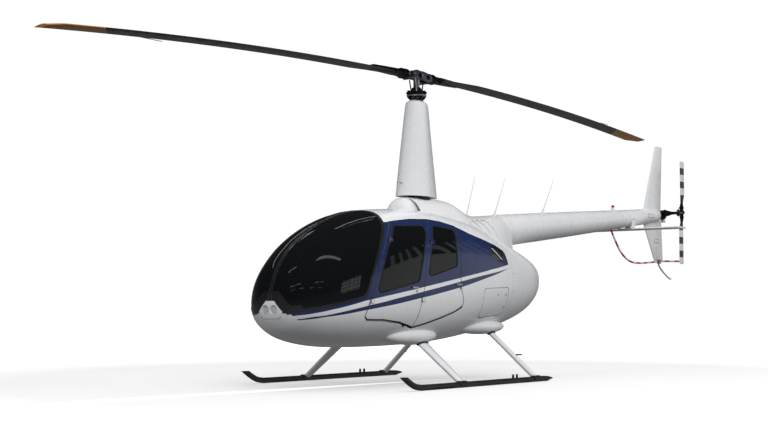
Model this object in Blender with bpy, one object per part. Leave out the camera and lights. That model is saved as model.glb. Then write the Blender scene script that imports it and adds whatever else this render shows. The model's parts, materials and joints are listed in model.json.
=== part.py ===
"""A light turbine helicopter with five seats, parked on its skids.

Metres, +X to the nose, +Y to port, +Z up, the ground at Z = 0. Sizes are measured from the mast:
X = 0 on the main rotor's axis. The empty that carries everything then moves the mast to MAST_X,
so that the origin lies under the middle of the whole aircraft.
"""
import math

import bmesh
import bpy
from mathutils import Matrix, Vector

# Rotors
ROTOR_RADIUS = 5.03
BLADE_CHORD = 0.262
BLADE_THICKNESS = 0.030
BLADE_DROOP = 0.24
HUB_Z = 3.405
MAST_RADIUS = 0.036
MAST_FOOT_Z = 3.020
TAIL_ROTOR_X = -5.87
TAIL_ROTOR_Y = 0.323
TAIL_ROTOR_Z = 2.18
TAIL_ROTOR_RADIUS = 0.742
TAIL_BLADE_CHORD = 0.128
TAIL_HUB_INNER = 0.068

# Reach of the pieces that set the whole length
GUARD_END_X = -6.25
GUARD_RADIUS = 0.014
MAST_X = (-GUARD_END_X - ROTOR_RADIUS) / 2

# Skins and gaps
SHELL_WALL = 0.040
COWL_WALL = 0.020
DOOR_WALL = 0.025
POST_INNER = 0.070
GLASS_OUTER = 0.003
GLASS_WALL = 0.006
SEAT_GAP = 0.0003
RUN_GAP = 0.005
DOOR_GAP = 0.010
FOOT_DROP = 0.013
DIVIDER_SHIFT = 0.0037
POST_OUTER = DOOR_WALL + SEAT_GAP
BAGGAGE_RIM = 0.020
CABIN_END_X = -0.95
COWL_END_X = -1.60
INLET_DEPTH = 0.016
BOW_HALF = 0.024

# Skids and struts
SKID_Y = 1.07
SKID_RADIUS = 0.030
SKID_FRONT_X = 1.60
SKID_REAR_X = -1.10

# Points round one cross-section of the fuselage's outer surface
FUSELAGE_SIDES = 28

# Fuselage stations: x, lowest z, highest z, half width, z of the widest point,
# roundness below and above it (2 is an ellipse, more is squarer)
FUSELAGE = (
    (2.366, 0.810, 0.810, 0.000, 0.810, 2.0, 2.0),
    (2.362, 0.765, 0.850, 0.060, 0.810, 2.0, 2.0),
    (2.348, 0.700, 0.940, 0.160, 0.820, 2.0, 2.0),
    (2.320, 0.645, 1.050, 0.250, 0.830, 2.0, 2.0),
    (2.270, 0.585, 1.165, 0.335, 0.845, 2.1, 2.0),
    (2.190, 0.535, 1.290, 0.420, 0.860, 2.1, 2.0),
    (2.060, 0.485, 1.415, 0.510, 0.885, 2.2, 2.0),
    (1.870, 0.445, 1.550, 0.600, 0.910, 2.3, 2.1),
    (1.620, 0.415, 1.680, 0.670, 0.950, 2.4, 2.2),
    (1.320, 0.405, 1.785, 0.710, 0.980, 2.5, 2.4),
    (1.000, 0.405, 1.845, 0.730, 1.000, 2.5, 2.6),
    (0.600, 0.410, 1.875, 0.735, 1.020, 2.5, 2.7),
    (0.200, 0.425, 1.880, 0.735, 1.050, 2.5, 2.7),
    (-0.200, 0.455, 1.855, 0.720, 1.070, 2.4, 2.6),
    (-0.600, 0.500, 1.790, 0.690, 1.090, 2.3, 2.5),
    (-0.950, 0.545, 1.700, 0.645, 1.100, 2.3, 2.4),
    (-1.300, 0.605, 1.605, 0.585, 1.110, 2.3, 2.3),
    (-1.590, 0.680, 1.520, 0.520, 1.120, 2.3, 2.3),
    (-1.780, 0.755, 1.460, 0.455, 1.130, 2.3, 2.3),
    (-1.920, 0.845, 1.410, 0.385, 1.140, 2.3, 2.3),
    (-2.005, 0.945, 1.360, 0.300, 1.160, 2.2, 2.2),
    (-2.040, 1.050, 1.300, 0.180, 1.180, 2.1, 2.1),
    (-2.055, 1.180, 1.180, 0.000, 1.180, 2.0, 2.0),
)

# Outlines seen from the side, as (x, z)
ROOF_EDGE = (
    (1.400, 1.690), (1.150, 1.690), (1.020, 1.706), (0.776, 1.735), (0.510, 1.750),
    (0.286, 1.733), (0.050, 1.690), (-0.170, 1.623), (-0.460, 1.562), (-0.680, 1.515),
    (-0.840, 1.460), (-1.000, 1.380),
)
DIVIDER = (
    (0.486, 1.744), (0.600, 1.627), (0.700, 1.450), (0.776, 1.270), (0.812, 1.100),
    (0.838, 0.967), (0.876, 0.790), (0.892, 0.621),
)
FRONT_DOOR_FRONT = (
    (1.620, 0.703), (1.655, 0.726), (1.640, 0.819), (1.600, 0.926), (1.500, 1.164),
    (1.390, 1.367), (1.276, 1.510), (1.175, 1.628), (1.105, 1.690),
)
FRONT_DOOR_TOP = ((1.020, 1.703), (0.776, 1.732))
FRONT_DOOR_FOOT = ((1.144, 0.671), (1.400, 0.700))
REAR_DOOR_TOP = ((0.286, 1.730), (0.064, 1.688))
REAR_DOOR_AFT = ((0.114, 1.540), (0.171, 1.325), (0.190, 1.120), (0.170, 1.000), (0.120, 0.880))
REAR_DOOR_FOOT = ((0.135, 0.832), (0.257, 0.781), (0.486, 0.715), (0.717, 0.657))
FRONT_WINDOW = (
    (1.098, 1.652), (0.615, 1.678), (0.776, 1.407), (0.863, 1.217), (0.905, 1.082),
    (1.545, 0.945), (1.453, 1.188), (1.320, 1.409),
)
REAR_WINDOW = (
    (0.486, 1.682), (0.126, 1.652), (0.200, 1.482), (0.229, 1.301), (0.240, 1.250),
    (0.765, 1.124), (0.687, 1.358), (0.571, 1.572),
)
BAGGAGE_DOOR = ((-0.290, 0.700), (-0.290, 1.020), (-0.860, 1.040), (-0.860, 0.740))
WINDSHIELD = (
    (2.600, 0.600), (2.600, 2.000), (1.060, 2.000), (1.105, 1.800), (1.166, 1.710),
    (1.232, 1.618), (1.342, 1.491), (1.431, 1.367), (1.517, 1.237), (1.600, 1.083),
    (1.655, 0.945), (1.697, 0.906), (1.804, 0.882), (1.959, 0.843), (2.132, 0.804),
    (2.275, 0.776), (2.330, 0.742), (2.345, 0.600),
)
SIDE_INLET = (
    (-0.545, 1.504), (-0.678, 1.495), (-0.827, 1.440), (-0.800, 1.335), (-0.627, 1.325),
    (-0.480, 1.386),
)

# The white plate below the windshield seen from ahead, and the lamp panel on it, as (y, z)
NOSE_PLATE = (
    (-0.330, 0.500), (0.330, 0.500), (0.270, 0.748), (0.205, 0.744), (0.058, 0.889),
    (-0.058, 0.889), (-0.205, 0.744), (-0.270, 0.748),
)
LAMP_PANEL = (
    (0.053, 0.881), (0.160, 0.770), (0.120, 0.704), (-0.120, 0.704), (-0.160, 0.770),
    (-0.053, 0.881),
)
LAMP_Y = 0.056
LAMP_Z = 0.790
LAMP_RADIUS = 0.048
LAMP_PANEL_PROUD = 0.006
LAMP_PANEL_BACK = 2.325

# Upper cowl sections: x, top z, half width
COWL_BASE_Z = 1.46
COWL_ROUNDNESS = 2.4
COWL_LIP = 0.014
COWL = (
    (0.250, 2.028, 0.320), (0.050, 2.034, 0.335), (-0.200, 2.034, 0.350), (-0.380, 2.026, 0.356),
    (-0.470, 2.006, 0.360), (-0.573, 1.966, 0.362), (-0.680, 1.922, 0.362), (-0.800, 1.893, 0.358),
    (-0.950, 1.882, 0.350), (-1.150, 1.892, 0.325), (-1.350, 1.908, 0.290), (-1.500, 1.922, 0.250),
    (-1.600, 1.934, 0.222),
)
MAST_BASE = (
    (0.388, 1.900, 0.150), (0.372, 1.940, 0.195), (0.345, 1.980, 0.218), (0.305, 2.012, 0.232),
    (0.260, 2.022, 0.240), (-0.050, 2.022, 0.245),
)

# Openings of the louvres in the upper cowl, seen from the side as (x, z)
LOUVRES = (
    ((-0.655, 1.792), (-0.733, 1.803), (-0.832, 1.658), (-0.776, 1.674)),
    ((-0.774, 1.808), (-0.873, 1.820), (-1.003, 1.630), (-0.936, 1.648)),
    ((-0.916, 1.826), (-1.036, 1.831), (-1.160, 1.602), (-1.078, 1.620)),
)
LOUVRE_DEPTH = 0.012

# Mast fairing sections: z, x of the nose, x of the tail, thickness
MAST_FAIRING = (
    (2.045, 0.290, -0.380, 0.340), (2.300, 0.255, -0.340, 0.312), (2.700, 0.198, -0.275, 0.262),
    (3.060, 0.145, -0.222, 0.215), (3.105, 0.132, -0.205, 0.195), (3.125, 0.100, -0.165, 0.140),
)

# Fixed swashplate below the rotor and the turning one above it, as (z, radius)
FIXED_PLATE = ((3.1253, 0.070), (3.160, 0.070), (3.161, 0.105), (3.185, 0.112), (3.200, 0.105))
TURNING_PLATE = ((3.206, 0.112), (3.225, 0.118), (3.238, 0.095))
TURNING_SLEEVE = ((3.230, 0.058), (3.262, 0.052))

# Exhaust: radius, wall and the middle of its stub below the hull
EXHAUST_RADIUS = 0.105
EXHAUST_WALL = 0.006
EXHAUST_EXIT = (-1.42, -0.16, 0.66)

# Tailcone stations: x, centre z, radius
TAILCONE = (
    (-1.600, 1.738, 0.196), (-2.400, 1.816, 0.180), (-3.200, 1.894, 0.163), (-4.400, 2.013, 0.132),
    (-5.600, 2.133, 0.101), (-5.680, 2.141, 0.096), (-5.715, 2.144, 0.080), (-5.730, 2.146, 0.050),
)

# Fins, as (x of the leading edge, x of the trailing edge, z, thickness)
UPPER_FIN = ((-5.290, -5.826, 2.140, 0.052), (-5.690, -5.905, 3.140, 0.026))
LOWER_FIN = ((-5.270, -5.850, 2.080, 0.052), (-5.620, -5.890, 1.490, 0.026))

# Stabiliser under the tailcone
STABILISER_X = -4.800
STABILISER_Z = 1.905
STABILISER_CHORD = 0.290
STABILISER_THICKNESS = 0.034
STABILISER_HALF = 0.790
STABILISER_CAP = 0.050

# Tail guard and tail skid, as points along their middle lines
GUARD_PATH = (
    (-4.370, 0.000, 1.900), (-4.450, 0.004, 1.780), (-4.620, 0.016, 1.580), (-4.830, 0.030, 1.465),
    (-5.100, 0.034, 1.440), (-5.500, 0.034, 1.462), (-5.800, 0.034, 1.482), (-6.000, 0.080, 1.488),
    (GUARD_END_X - 0.02, 0.155, 1.492),
)
TAIL_SKID_PATH = (
    (-5.700, 0.034, 1.470), (-5.730, 0.022, 1.420), (-5.900, 0.0, 1.330), (-6.080, 0.0, 1.245),
    (-6.140, 0.0, 1.235),
)
TAIL_SKID_RADIUS = 0.013

# Hinge lines of the port doors, from a low point to a high one. They run just outside the skin.
HINGES = {
    "door_front": ((1.697, 0.716, 0.819), (1.330, 0.662, 1.498)),
    "door_rear": ((0.908, 0.764, 0.889), (0.703, 0.712, 1.513)),
    "door_baggage": ((-0.280, 0.735, 0.740), (-0.280, 0.735, 0.980)),
}

# Inside the cabin and behind it
FLOOR_Z = 0.600
FLOOR_WALL = 0.030
FLOOR_FRONT_X = 2.05
BULKHEAD_X = -0.300
FIREWALL_X = -0.980
PLATE_WALL = 0.020
SEAT_CUSHION_Z = 0.960
SEAT_BACK_LEAN = 0.10
FRONT_SEAT_Y = 0.33
CONSOLE_STEM = (
    (1.62, FLOOR_Z + SEAT_GAP), (1.88, FLOOR_Z + SEAT_GAP), (2.00, 0.90), (1.96, 1.22), (1.86, 1.24),
    (1.74, 0.86),
)
CONSOLE_HEAD = ((1.945, 0.93), (1.985, 1.02), (1.950, 1.23), (1.850, 1.25), (1.790, 0.95))
STICK_PATH = ((1.48, 0.0, 0.66), (1.50, 0.0, 0.82), (1.45, 0.0, 1.02))
STICK_BAR_HALF = 0.36
ENGINE_LENGTH = 0.72
ENGINE_HALF = 0.27
ENGINE_HEIGHTS = (0.90, 1.36)

# Lugs on the hull over the strut roots: x, y, z, half length, half width, half height
BLISTERS = ((0.760, 0.500, 0.520, 0.420, 0.120, 0.095), (-0.560, 0.450, 0.600, 0.460, 0.120, 0.085))

# Struts from hull to skid: x and chord at the top, x and chord at the skid, y and z of the top
STRUTS = {
    "strut_front": (0.655, 0.200, 0.645, 0.110, 0.420, 0.545),
    "strut_rear": (-0.700, 0.120, -0.750, 0.085, 0.400, 0.620),
}

# Whip aerials, as (base x, tip x, tip z)
AERIALS = {
    "aerial_front": (-0.970, -1.140, 2.370),
    "aerial_middle": (-1.555, -1.780, 2.390),
    "aerial_rear": (-2.640, -2.910, 2.470),
}

# Middle line of a skid's upturned front
SKID_TOE = (
    (SKID_FRONT_X, SKID_Y, 0.135), (1.520, SKID_Y, 0.086), (1.430, SKID_Y, 0.046),
    (1.330, SKID_Y, SKID_RADIUS),
)
STRUT_THICKNESS = 0.052
SADDLE_WALL = 0.012

# Beacon on the tailcone
BEACON_X = -4.440

# Distances from the main rotor's axis at which a blade's section is set
BLADE_STATIONS = (0.42, 0.62, 0.95, 1.6, 2.4, 3.2, 4.0, 4.7, 4.9, ROTOR_RADIUS)
BLADE_ROOT_END = 0.95
BLADE_TIP_START = 4.9

# Tail blade sections: distance from the axis, chord, thickness
TAIL_BLADE = (
    (0.1253, 0.050, 0.036), (0.19, 0.110, 0.024), (0.26, TAIL_BLADE_CHORD, 0.017),
    (TAIL_ROTOR_RADIUS, TAIL_BLADE_CHORD, 0.015),
)

# Colour, roughness and metallic value of each finish
FINISHES = {
    "white_paint": ((0.86, 0.86, 0.87), 0.22, 0.0),
    "navy_paint": ((0.02, 0.05, 0.20), 0.22, 0.0),
    "black_satin": ((0.02, 0.02, 0.022), 0.40, 0.0),
    "dark_glass": ((0.03, 0.035, 0.04), 0.05, 0.0),
    "bare_metal": ((0.55, 0.56, 0.58), 0.35, 1.0),
    "seat_leather": ((0.10, 0.10, 0.11), 0.60, 0.0),
    "cabin_trim": ((0.16, 0.16, 0.17), 0.70, 0.0),
    "red_white": ((0.75, 0.08, 0.05), 0.35, 0.0),
}


def clear_scene():
    for thing in list(bpy.data.objects):
        bpy.data.objects.remove(thing)


# Making and joining meshes

def temp(mesh):
    """An object that holds the mesh while it is shaped."""
    thing = bpy.data.objects.new("shape", mesh)
    bpy.context.scene.collection.objects.link(thing)
    return thing


def mesh_from(bm):
    bmesh.ops.recalc_face_normals(bm, faces=bm.faces)
    if bm.calc_volume(signed=True) < 0:
        bmesh.ops.reverse_faces(bm, faces=bm.faces)
    mesh = bpy.data.meshes.new("shape")
    bm.to_mesh(mesh)
    bm.free()
    return mesh


def skinned(rings):
    """The bmesh of triangles between rings of points. A ring of one point is a tip."""
    bm = bmesh.new()
    rows = [[bm.verts.new(point) for point in ring] for ring in rings]
    for near, far in zip(rows, rows[1:]):
        count = max(len(near), len(far))
        for i in range(count):
            j = (i + 1) % count
            a, b = near[i % len(near)], near[j % len(near)]
            c, d = far[j % len(far)], far[i % len(far)]
            if a is not b:
                bm.faces.new((a, b, c))
            if c is not d:
                bm.faces.new((a, c, d))
    for row in (rows[0], rows[-1]):
        if len(row) > 2:
            bm.faces.new(row)
    return bm


def loft(rings):
    return temp(mesh_from(skinned(rings)))


def prism(outline, low, high, axis="Y"):
    """The outline, given in the plane across the axis, pushed from low to high along it."""
    place = {
        "X": lambda p, depth: (depth, p[0], p[1]),
        "Y": lambda p, depth: (p[0], depth, p[1]),
        "Z": lambda p, depth: (p[0], p[1], depth),
    }[axis]
    return loft([[place(p, low) for p in outline], [place(p, high) for p in outline]])


def box(x, y, z):
    """A block from the three pairs of its limits."""
    return prism(((x[0], z[0]), (x[1], z[0]), (x[1], z[1]), (x[0], z[1])), y[0], y[1])


def rounded_block(x, y, z, radius, segments=2):
    """A block whose edges are rounded."""
    bm = bmesh.new()
    bmesh.ops.create_cube(bm, size=1.0)
    size = (x[1] - x[0], y[1] - y[0], z[1] - z[0])
    middle = Vector(((x[0] + x[1]) / 2, (y[0] + y[1]) / 2, (z[0] + z[1]) / 2))
    for vert in bm.verts:
        vert.co = Vector(c * s for c, s in zip(vert.co, size)) + middle
    bmesh.ops.bevel(bm, geom=bm.edges[:], offset=radius, segments=segments, profile=0.5,
                    affect="EDGES")
    return temp(mesh_from(bm))


def ellipsoid(centre, half_sizes, grow=0.0):
    bm = bmesh.new()
    bmesh.ops.create_uvsphere(bm, u_segments=14, v_segments=8, radius=1.0)
    for vert in bm.verts:
        vert.co = Vector(c * (s + grow) for c, s in zip(vert.co, half_sizes)) + Vector(centre)
    return temp(mesh_from(bm))


def circle(radius, sides, centre=(0.0, 0.0)):
    return [
        (centre[0] + radius * math.cos(2 * math.pi * i / sides),
         centre[1] + radius * math.sin(2 * math.pi * i / sides))
        for i in range(sides)
    ]


def turned(profile, centre, axis="Z", sides=14):
    """A turned solid from (height, radius) pairs along the axis through the centre."""
    rings = []
    for height, radius in profile:
        ring = []
        for a, b in circle(radius, sides):
            offset = {"X": (height, a, b), "Y": (a, height, b), "Z": (a, b, height)}[axis]
            ring.append(Vector(centre) + Vector(offset))
        rings.append(ring)
    return loft(rings)


def sweep(path, section, guide, scales=None):
    """The section, as (across, along the guide) pairs, carried along a path of points."""
    path = [Vector(p) for p in path]
    guide = Vector(guide)
    rings = []
    for i, point in enumerate(path):
        ahead = path[min(i + 1, len(path) - 1)] - path[max(i - 1, 0)]
        side = ahead.cross(guide).normalized()
        up = side.cross(ahead).normalized()
        scale = scales[i] if scales else 1.0
        rings.append([point + side * (a * scale) + up * (b * scale) for a, b in section])
    return loft(rings)


def curve_through(points, steps):
    """Catmull-Rom points through a few given ones."""
    knots = [Vector(p) for p in points]
    knots = [2 * knots[0] - knots[1]] + knots + [2 * knots[-1] - knots[-2]]
    found = []
    for a, b, c, d in zip(knots, knots[1:], knots[2:], knots[3:]):
        for k in range(steps):
            t = k / steps
            found.append(0.5 * (2 * b + (c - a) * t + (2 * a - 5 * b + 4 * c - d) * t ** 2
                                + (3 * b - a - 3 * c + d) * t ** 3))
    return found + [knots[-2]]


def combine(target, tool, operation, keep_tool=False, solver="EXACT"):
    """The target cut by, joined with or limited to the tool."""
    modifier = target.modifiers.new("combine", "BOOLEAN")
    modifier.operation = operation
    modifier.solver = solver
    modifier.object = tool
    bpy.context.view_layer.update()
    graph = bpy.context.evaluated_depsgraph_get()
    mesh = bpy.data.meshes.new_from_object(target.evaluated_get(graph))
    target.modifiers.clear()
    target.data = mesh
    if not keep_tool:
        bpy.data.objects.remove(tool)
    return target


def cut(target, tool, keep_tool=False):
    return combine(target, tool, "DIFFERENCE", keep_tool)


def join(target, *tools, solver="EXACT"):
    for tool in tools:
        combine(target, tool, "UNION", solver=solver)
    return target


def within(target, tool, keep_tool=False):
    return combine(target, tool, "INTERSECT", keep_tool)


def copy_of(thing):
    return temp(thing.data.copy())


def mirrored(thing):
    """The same shape on the other side of the aircraft."""
    twin = copy_of(thing)
    twin.data.transform(Matrix.Scale(-1, 4, (0, 1, 0)))
    twin.data.flip_normals()
    return twin


# Outlines

def grown(outline, distance):
    """The outline moved outwards, or inwards for a negative distance, with mitred corners."""
    points = [Vector(p) for p in outline]
    area = sum(a.x * b.y - b.x * a.y for a, b in zip(points, points[1:] + points[:1]))
    turn = 1.0 if area > 0 else -1.0
    found = []
    for i, point in enumerate(points):
        before = (point - points[i - 1]).normalized()
        after = (points[(i + 1) % len(points)] - point).normalized()
        out_a = Vector((before.y, -before.x)) * turn
        out_b = Vector((after.y, -after.x)) * turn
        middle = (out_a + out_b).normalized()
        found.append(point + middle * (distance / max(middle.dot(out_a), 0.35)))
    return found


def rounded(outline, radius, segments=2, sharpest=25.0):
    """The outline with an arc in place of each corner that turns by more than the sharpest angle."""
    points = [Vector(p) for p in outline]
    found = []
    for i, point in enumerate(points):
        before = points[i - 1] - point
        after = points[(i + 1) % len(points)] - point
        bend = math.pi - before.angle(after)
        if math.degrees(bend) < sharpest:
            found.append(point)
            continue
        reach = min(radius * math.tan(bend / 2), 0.45 * before.length, 0.45 * after.length)
        start = point + before.normalized() * reach
        end = point + after.normalized() * reach
        for k in range(segments + 1):
            t = k / segments
            found.append(start * (1 - t) ** 2 + 2 * point * t * (1 - t) + end * t ** 2)
    return found


# The fuselage's own surface

def fuselage_rings(stations, sides):
    """Rings of points on the outer surface, from the nose to the aft tip."""
    rings = []
    for x, z_low, z_high, half_width, z_mid, round_low, round_high in stations:
        if half_width == 0.0:
            rings.append([Vector((x, 0.0, z_mid))])
            continue
        ring = []
        for i in range(sides):
            angle = 2 * math.pi * (i + 0.5) / sides
            c, s = math.cos(angle), math.sin(angle)
            power = 2 / (round_high if s > 0 else round_low)
            height = z_high - z_mid if s > 0 else z_mid - z_low
            ring.append(Vector((x, half_width * math.copysign(abs(c) ** power, c),
                                z_mid + height * math.copysign(abs(s) ** power, s))))
        rings.append(ring)
    return rings


def moved_in(rings, depth):
    """The solid through the rings with its surface moved inwards, or outwards if negative."""
    bm = skinned(rings)
    bmesh.ops.recalc_face_normals(bm, faces=bm.faces)
    if bm.calc_volume(signed=True) < 0:
        bmesh.ops.reverse_faces(bm, faces=bm.faces)
    bm.normal_update()
    moves = [(vert, vert.normal.copy()) for vert in bm.verts]
    for vert, normal in moves:
        vert.co -= normal * depth
    return temp(mesh_from(bm))


def fuselage_solid(depth):
    return moved_in(fuselage_rings(FUSELAGE, FUSELAGE_SIDES), depth)


def fuselage_inside(depth):
    """The hollow of the fuselage behind a wall of that depth, in half as many flats."""
    return moved_in(fuselage_rings(FUSELAGE[::2], FUSELAGE_SIDES // 2), depth)


def fuselage_skin(outer, inner):
    """The layer of the fuselage between two depths below its outer surface."""
    return cut(fuselage_solid(outer), fuselage_solid(inner))


# Placing finished nodes

def empty(name, place, parent=None):
    thing = bpy.data.objects.new(name, None)
    thing.empty_display_size = 0.2
    thing.location = place
    thing.parent = parent
    bpy.context.scene.collection.objects.link(thing)
    return thing


def material(name, finish):
    colour, roughness, metallic = FINISHES[finish]
    made = bpy.data.materials.new(name)
    made.use_nodes = True
    shader = made.node_tree.nodes["Principled BSDF"]
    shader.inputs["Base Color"].default_value = (*colour, 1.0)
    shader.inputs["Roughness"].default_value = roughness
    shader.inputs["Metallic"].default_value = metallic
    made.diffuse_color = (*colour, 1.0)
    return made


class Aircraft:
    """The empties that carry the nodes, and the way a shape becomes one."""

    def __init__(self):
        self.root = empty("airframe", (MAST_X, 0.0, 0.0))

    def pivot(self, name, place):
        return empty(name, place, self.root)

    def node(self, name, thing, finish, carrier=None):
        carrier = carrier or self.root
        if carrier is not self.root:
            thing.data.transform(Matrix.Translation(-carrier.location))
        thing.name = name
        thing.data.name = name
        thing.parent = carrier
        thing.data.materials.clear()
        thing.data.materials.append(material(name, finish))
        thing.data.shade_smooth()
        thing.data.set_sharp_from_angle(angle=math.radians(30))
        return thing


# The cabin

def front_door_outline():
    return list(FRONT_DOOR_FRONT) + list(FRONT_DOOR_TOP) + [
        (x + DIVIDER_SHIFT, z) for x, z in DIVIDER] + list(FRONT_DOOR_FOOT)


def rear_door_outline():
    return [(x - DIVIDER_SHIFT, z) for x, z in reversed(DIVIDER)] + list(REAR_DOOR_TOP) + list(
        REAR_DOOR_AFT) + list(REAR_DOOR_FOOT)


def doorway_outline():
    """One opening for both doors of a side, which meet on the divider.

    Its foot lies lower than the doors' own, because their leaning hinges dip them as they open.
    """
    foot = [FRONT_DOOR_FRONT[0], *reversed(FRONT_DOOR_FOOT), DIVIDER[-1], *reversed(REAR_DOOR_FOOT)]
    lowered = [(x, z - FOOT_DROP) for x, z in foot]
    return grown(list(FRONT_DOOR_FRONT[1:]) + list(FRONT_DOOR_TOP) + [DIVIDER[0]] + list(REAR_DOOR_TOP)
                 + list(REAR_DOOR_AFT) + lowered[::-1], DOOR_GAP)


def roof_outline(shift=0.0):
    return [(x, z + shift) for x, z in ROOF_EDGE] + [(-1.0, 2.3), (1.4, 2.3)]


def blisters(grow=0.0):
    found = []
    for x, y, z, long, wide, high in BLISTERS:
        for side in (1, -1):
            found.append(ellipsoid((x, side * y, z), (long, wide, high), grow))
    return found


def cabin_frame():
    """The cabin's fixed skin with its posts, before the roof is parted from it."""
    frame = join(fuselage_solid(0.0), *blisters())
    cut(frame, fuselage_inside(SHELL_WALL))
    within(frame, box((CABIN_END_X, 3.0), (-2.0, 2.0), (-0.5, 3.0)))
    for side in (1, -1):
        cut(frame, prism(doorway_outline(), 0.2 * side, 1.5 * side))
    cut(frame, glazing(SEAT_GAP, -1.5, 1.5))
    return join(frame, within(fuselage_skin(POST_OUTER, POST_INNER), divider_slab()))


def glazing(grow, low, high):
    """The windshield's region between two values of y, without the white plate at the nose."""
    region = prism(grown(WINDSHIELD, grow), low, high)
    return cut(region, prism(grown(NOSE_PLATE, -grow), 1.9, 3.0, "X"))


def divider_slab():
    """A slanted slab, wide as a door post, that follows the line where the two doors meet."""
    half = 0.035
    line = [(x, z) for x, z in DIVIDER]
    line = [(0.430, 1.860)] + line + [(0.896, FLOOR_Z + SEAT_GAP)]
    return prism([(x - half, z) for x, z in line] + [(x + half, z) for x, z in reversed(line)],
                 -1.2, 1.2)


def build_cabin(craft):
    frame = cabin_frame()
    recess = within(fuselage_skin(-0.01, INLET_DEPTH), prism(rounded(SIDE_INLET, 0.05), 0.3, 1.2))
    cut(frame, mirrored(recess))
    cut(frame, recess)
    cut(frame, prism(rounded(grown(BAGGAGE_DOOR, -BAGGAGE_RIM), 0.04), 0.3, 1.2))
    cut(frame, within(fuselage_skin(-0.02, DOOR_WALL + SEAT_GAP),
                      prism(rounded(grown(BAGGAGE_DOOR, DOOR_GAP), 0.06), 0.3, 1.2)))
    cut(frame, prism(grown(LAMP_PANEL, SEAT_GAP), LAMP_PANEL_BACK - SEAT_GAP, 3.0, "X"))
    roof = within(copy_of(frame), prism(roof_outline(SEAT_GAP / 2), -1.2, 1.2))
    cut(frame, prism(roof_outline(-SEAT_GAP / 2), -1.2, 1.2))
    craft.node("cabin_shell", frame, "white_paint")
    craft.node("roof_panel", roof, "white_paint")


def build_windshield(craft):
    bow = within(fuselage_skin(0.0, 0.03), glazing(0.0, -BOW_HALF, BOW_HALF))
    craft.node("windshield_bow", bow, "black_satin")
    glass = within(fuselage_skin(GLASS_OUTER, GLASS_OUTER + GLASS_WALL),
                   glazing(0.0, BOW_HALF + SEAT_GAP, 1.2))
    craft.node("windshield_right", mirrored(glass), "dark_glass")
    craft.node("windshield_left", glass, "dark_glass")


def build_lamp_panel(craft):
    panel = within(fuselage_solid(-LAMP_PANEL_PROUD), prism(LAMP_PANEL, LAMP_PANEL_BACK, 3.0, "X"))
    for side in (1, -1):
        cut(panel, prism(circle(LAMP_RADIUS, 14, (side * LAMP_Y, LAMP_Z)), 2.2, 3.0, "X"))
    craft.node("lamp_panel", panel, "white_paint")
    back = LAMP_PANEL_BACK
    for name, side in (("landing_lamp_left", 1), ("landing_lamp_right", -1)):
        lamp = turned(((back, 0.046), (back + 0.028, 0.046), (back + 0.035, 0.038), (back + 0.039, 0.020)),
                      (0.0, side * LAMP_Y, LAMP_Z), "X")
        craft.node(name, lamp, "bare_metal")


def build_doors(craft):
    shapes = {
        "door_front": (front_door_outline(), rounded(FRONT_WINDOW, 0.05), "window_front"),
        "door_rear": (rear_door_outline(), rounded(REAR_WINDOW, 0.05), "window_rear"),
    }
    skin = fuselage_skin(0.0, DOOR_WALL)
    glass_skin = fuselage_skin(GLASS_OUTER, GLASS_OUTER + GLASS_WALL)
    for door_name, (outline, window, window_name) in shapes.items():
        low, high = (Vector(p) for p in HINGES[door_name])
        middle = (low + high) / 2
        for side, label in ((1, "left"), (-1, "right")):
            hinge = craft.pivot(f"{door_name}_{label}_hinge", (middle.x, side * middle.y, middle.z))
            door = within(copy_of(skin), prism(outline, 0.25 * side, 1.2 * side))
            cut(door, prism(window, 0.2 * side, 1.3 * side))
            pane = within(copy_of(glass_skin), prism(grown(window, -SEAT_GAP), 0.2 * side, 1.3 * side))
            craft.node(f"{door_name}_{label}", door, "navy_paint", hinge)
            craft.node(f"{window_name}_{label}", pane, "dark_glass", hinge)
    baggage = within(skin, prism(rounded(BAGGAGE_DOOR, 0.06), 0.3, 1.2))
    hinge = craft.pivot("door_baggage_hinge", HINGES["door_baggage"][0])
    craft.node("door_baggage", baggage, "white_paint", hinge)
    bpy.data.objects.remove(glass_skin)


# Inside the cabin

def inner_slab(x, y, z):
    """A flat piece that fits the inside of the shell."""
    return within(fuselage_inside(SHELL_WALL + SEAT_GAP), box(x, y, z))


def seat(x_front, x_back, y_mid, width, back_top, head):
    """Seat base, cushion and back of one seat, and a head cushion where the seat has one."""
    base_z = FLOOR_Z + SEAT_GAP
    low, high = y_mid - width / 2, y_mid + width / 2
    shape = rounded_block((x_back, x_front), (low, high), (base_z, SEAT_CUSHION_Z), 0.03)
    foot_z = SEAT_CUSHION_Z - 0.06
    outline = [(x_back - 0.02, foot_z), (x_back + 0.11, foot_z),
               (x_back + 0.11 - SEAT_BACK_LEAN, back_top), (x_back - 0.02 - SEAT_BACK_LEAN, back_top)]
    join(shape, prism(outline, low + 0.004, high - 0.004))
    if head:
        top = back_top + 0.17
        join(shape, rounded_block((x_back - 0.12, x_back - 0.02), (y_mid - 0.12, y_mid + 0.12),
                                  (back_top - 0.03, top), 0.025))
    return within(shape, fuselage_inside(POST_INNER + RUN_GAP))


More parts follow.
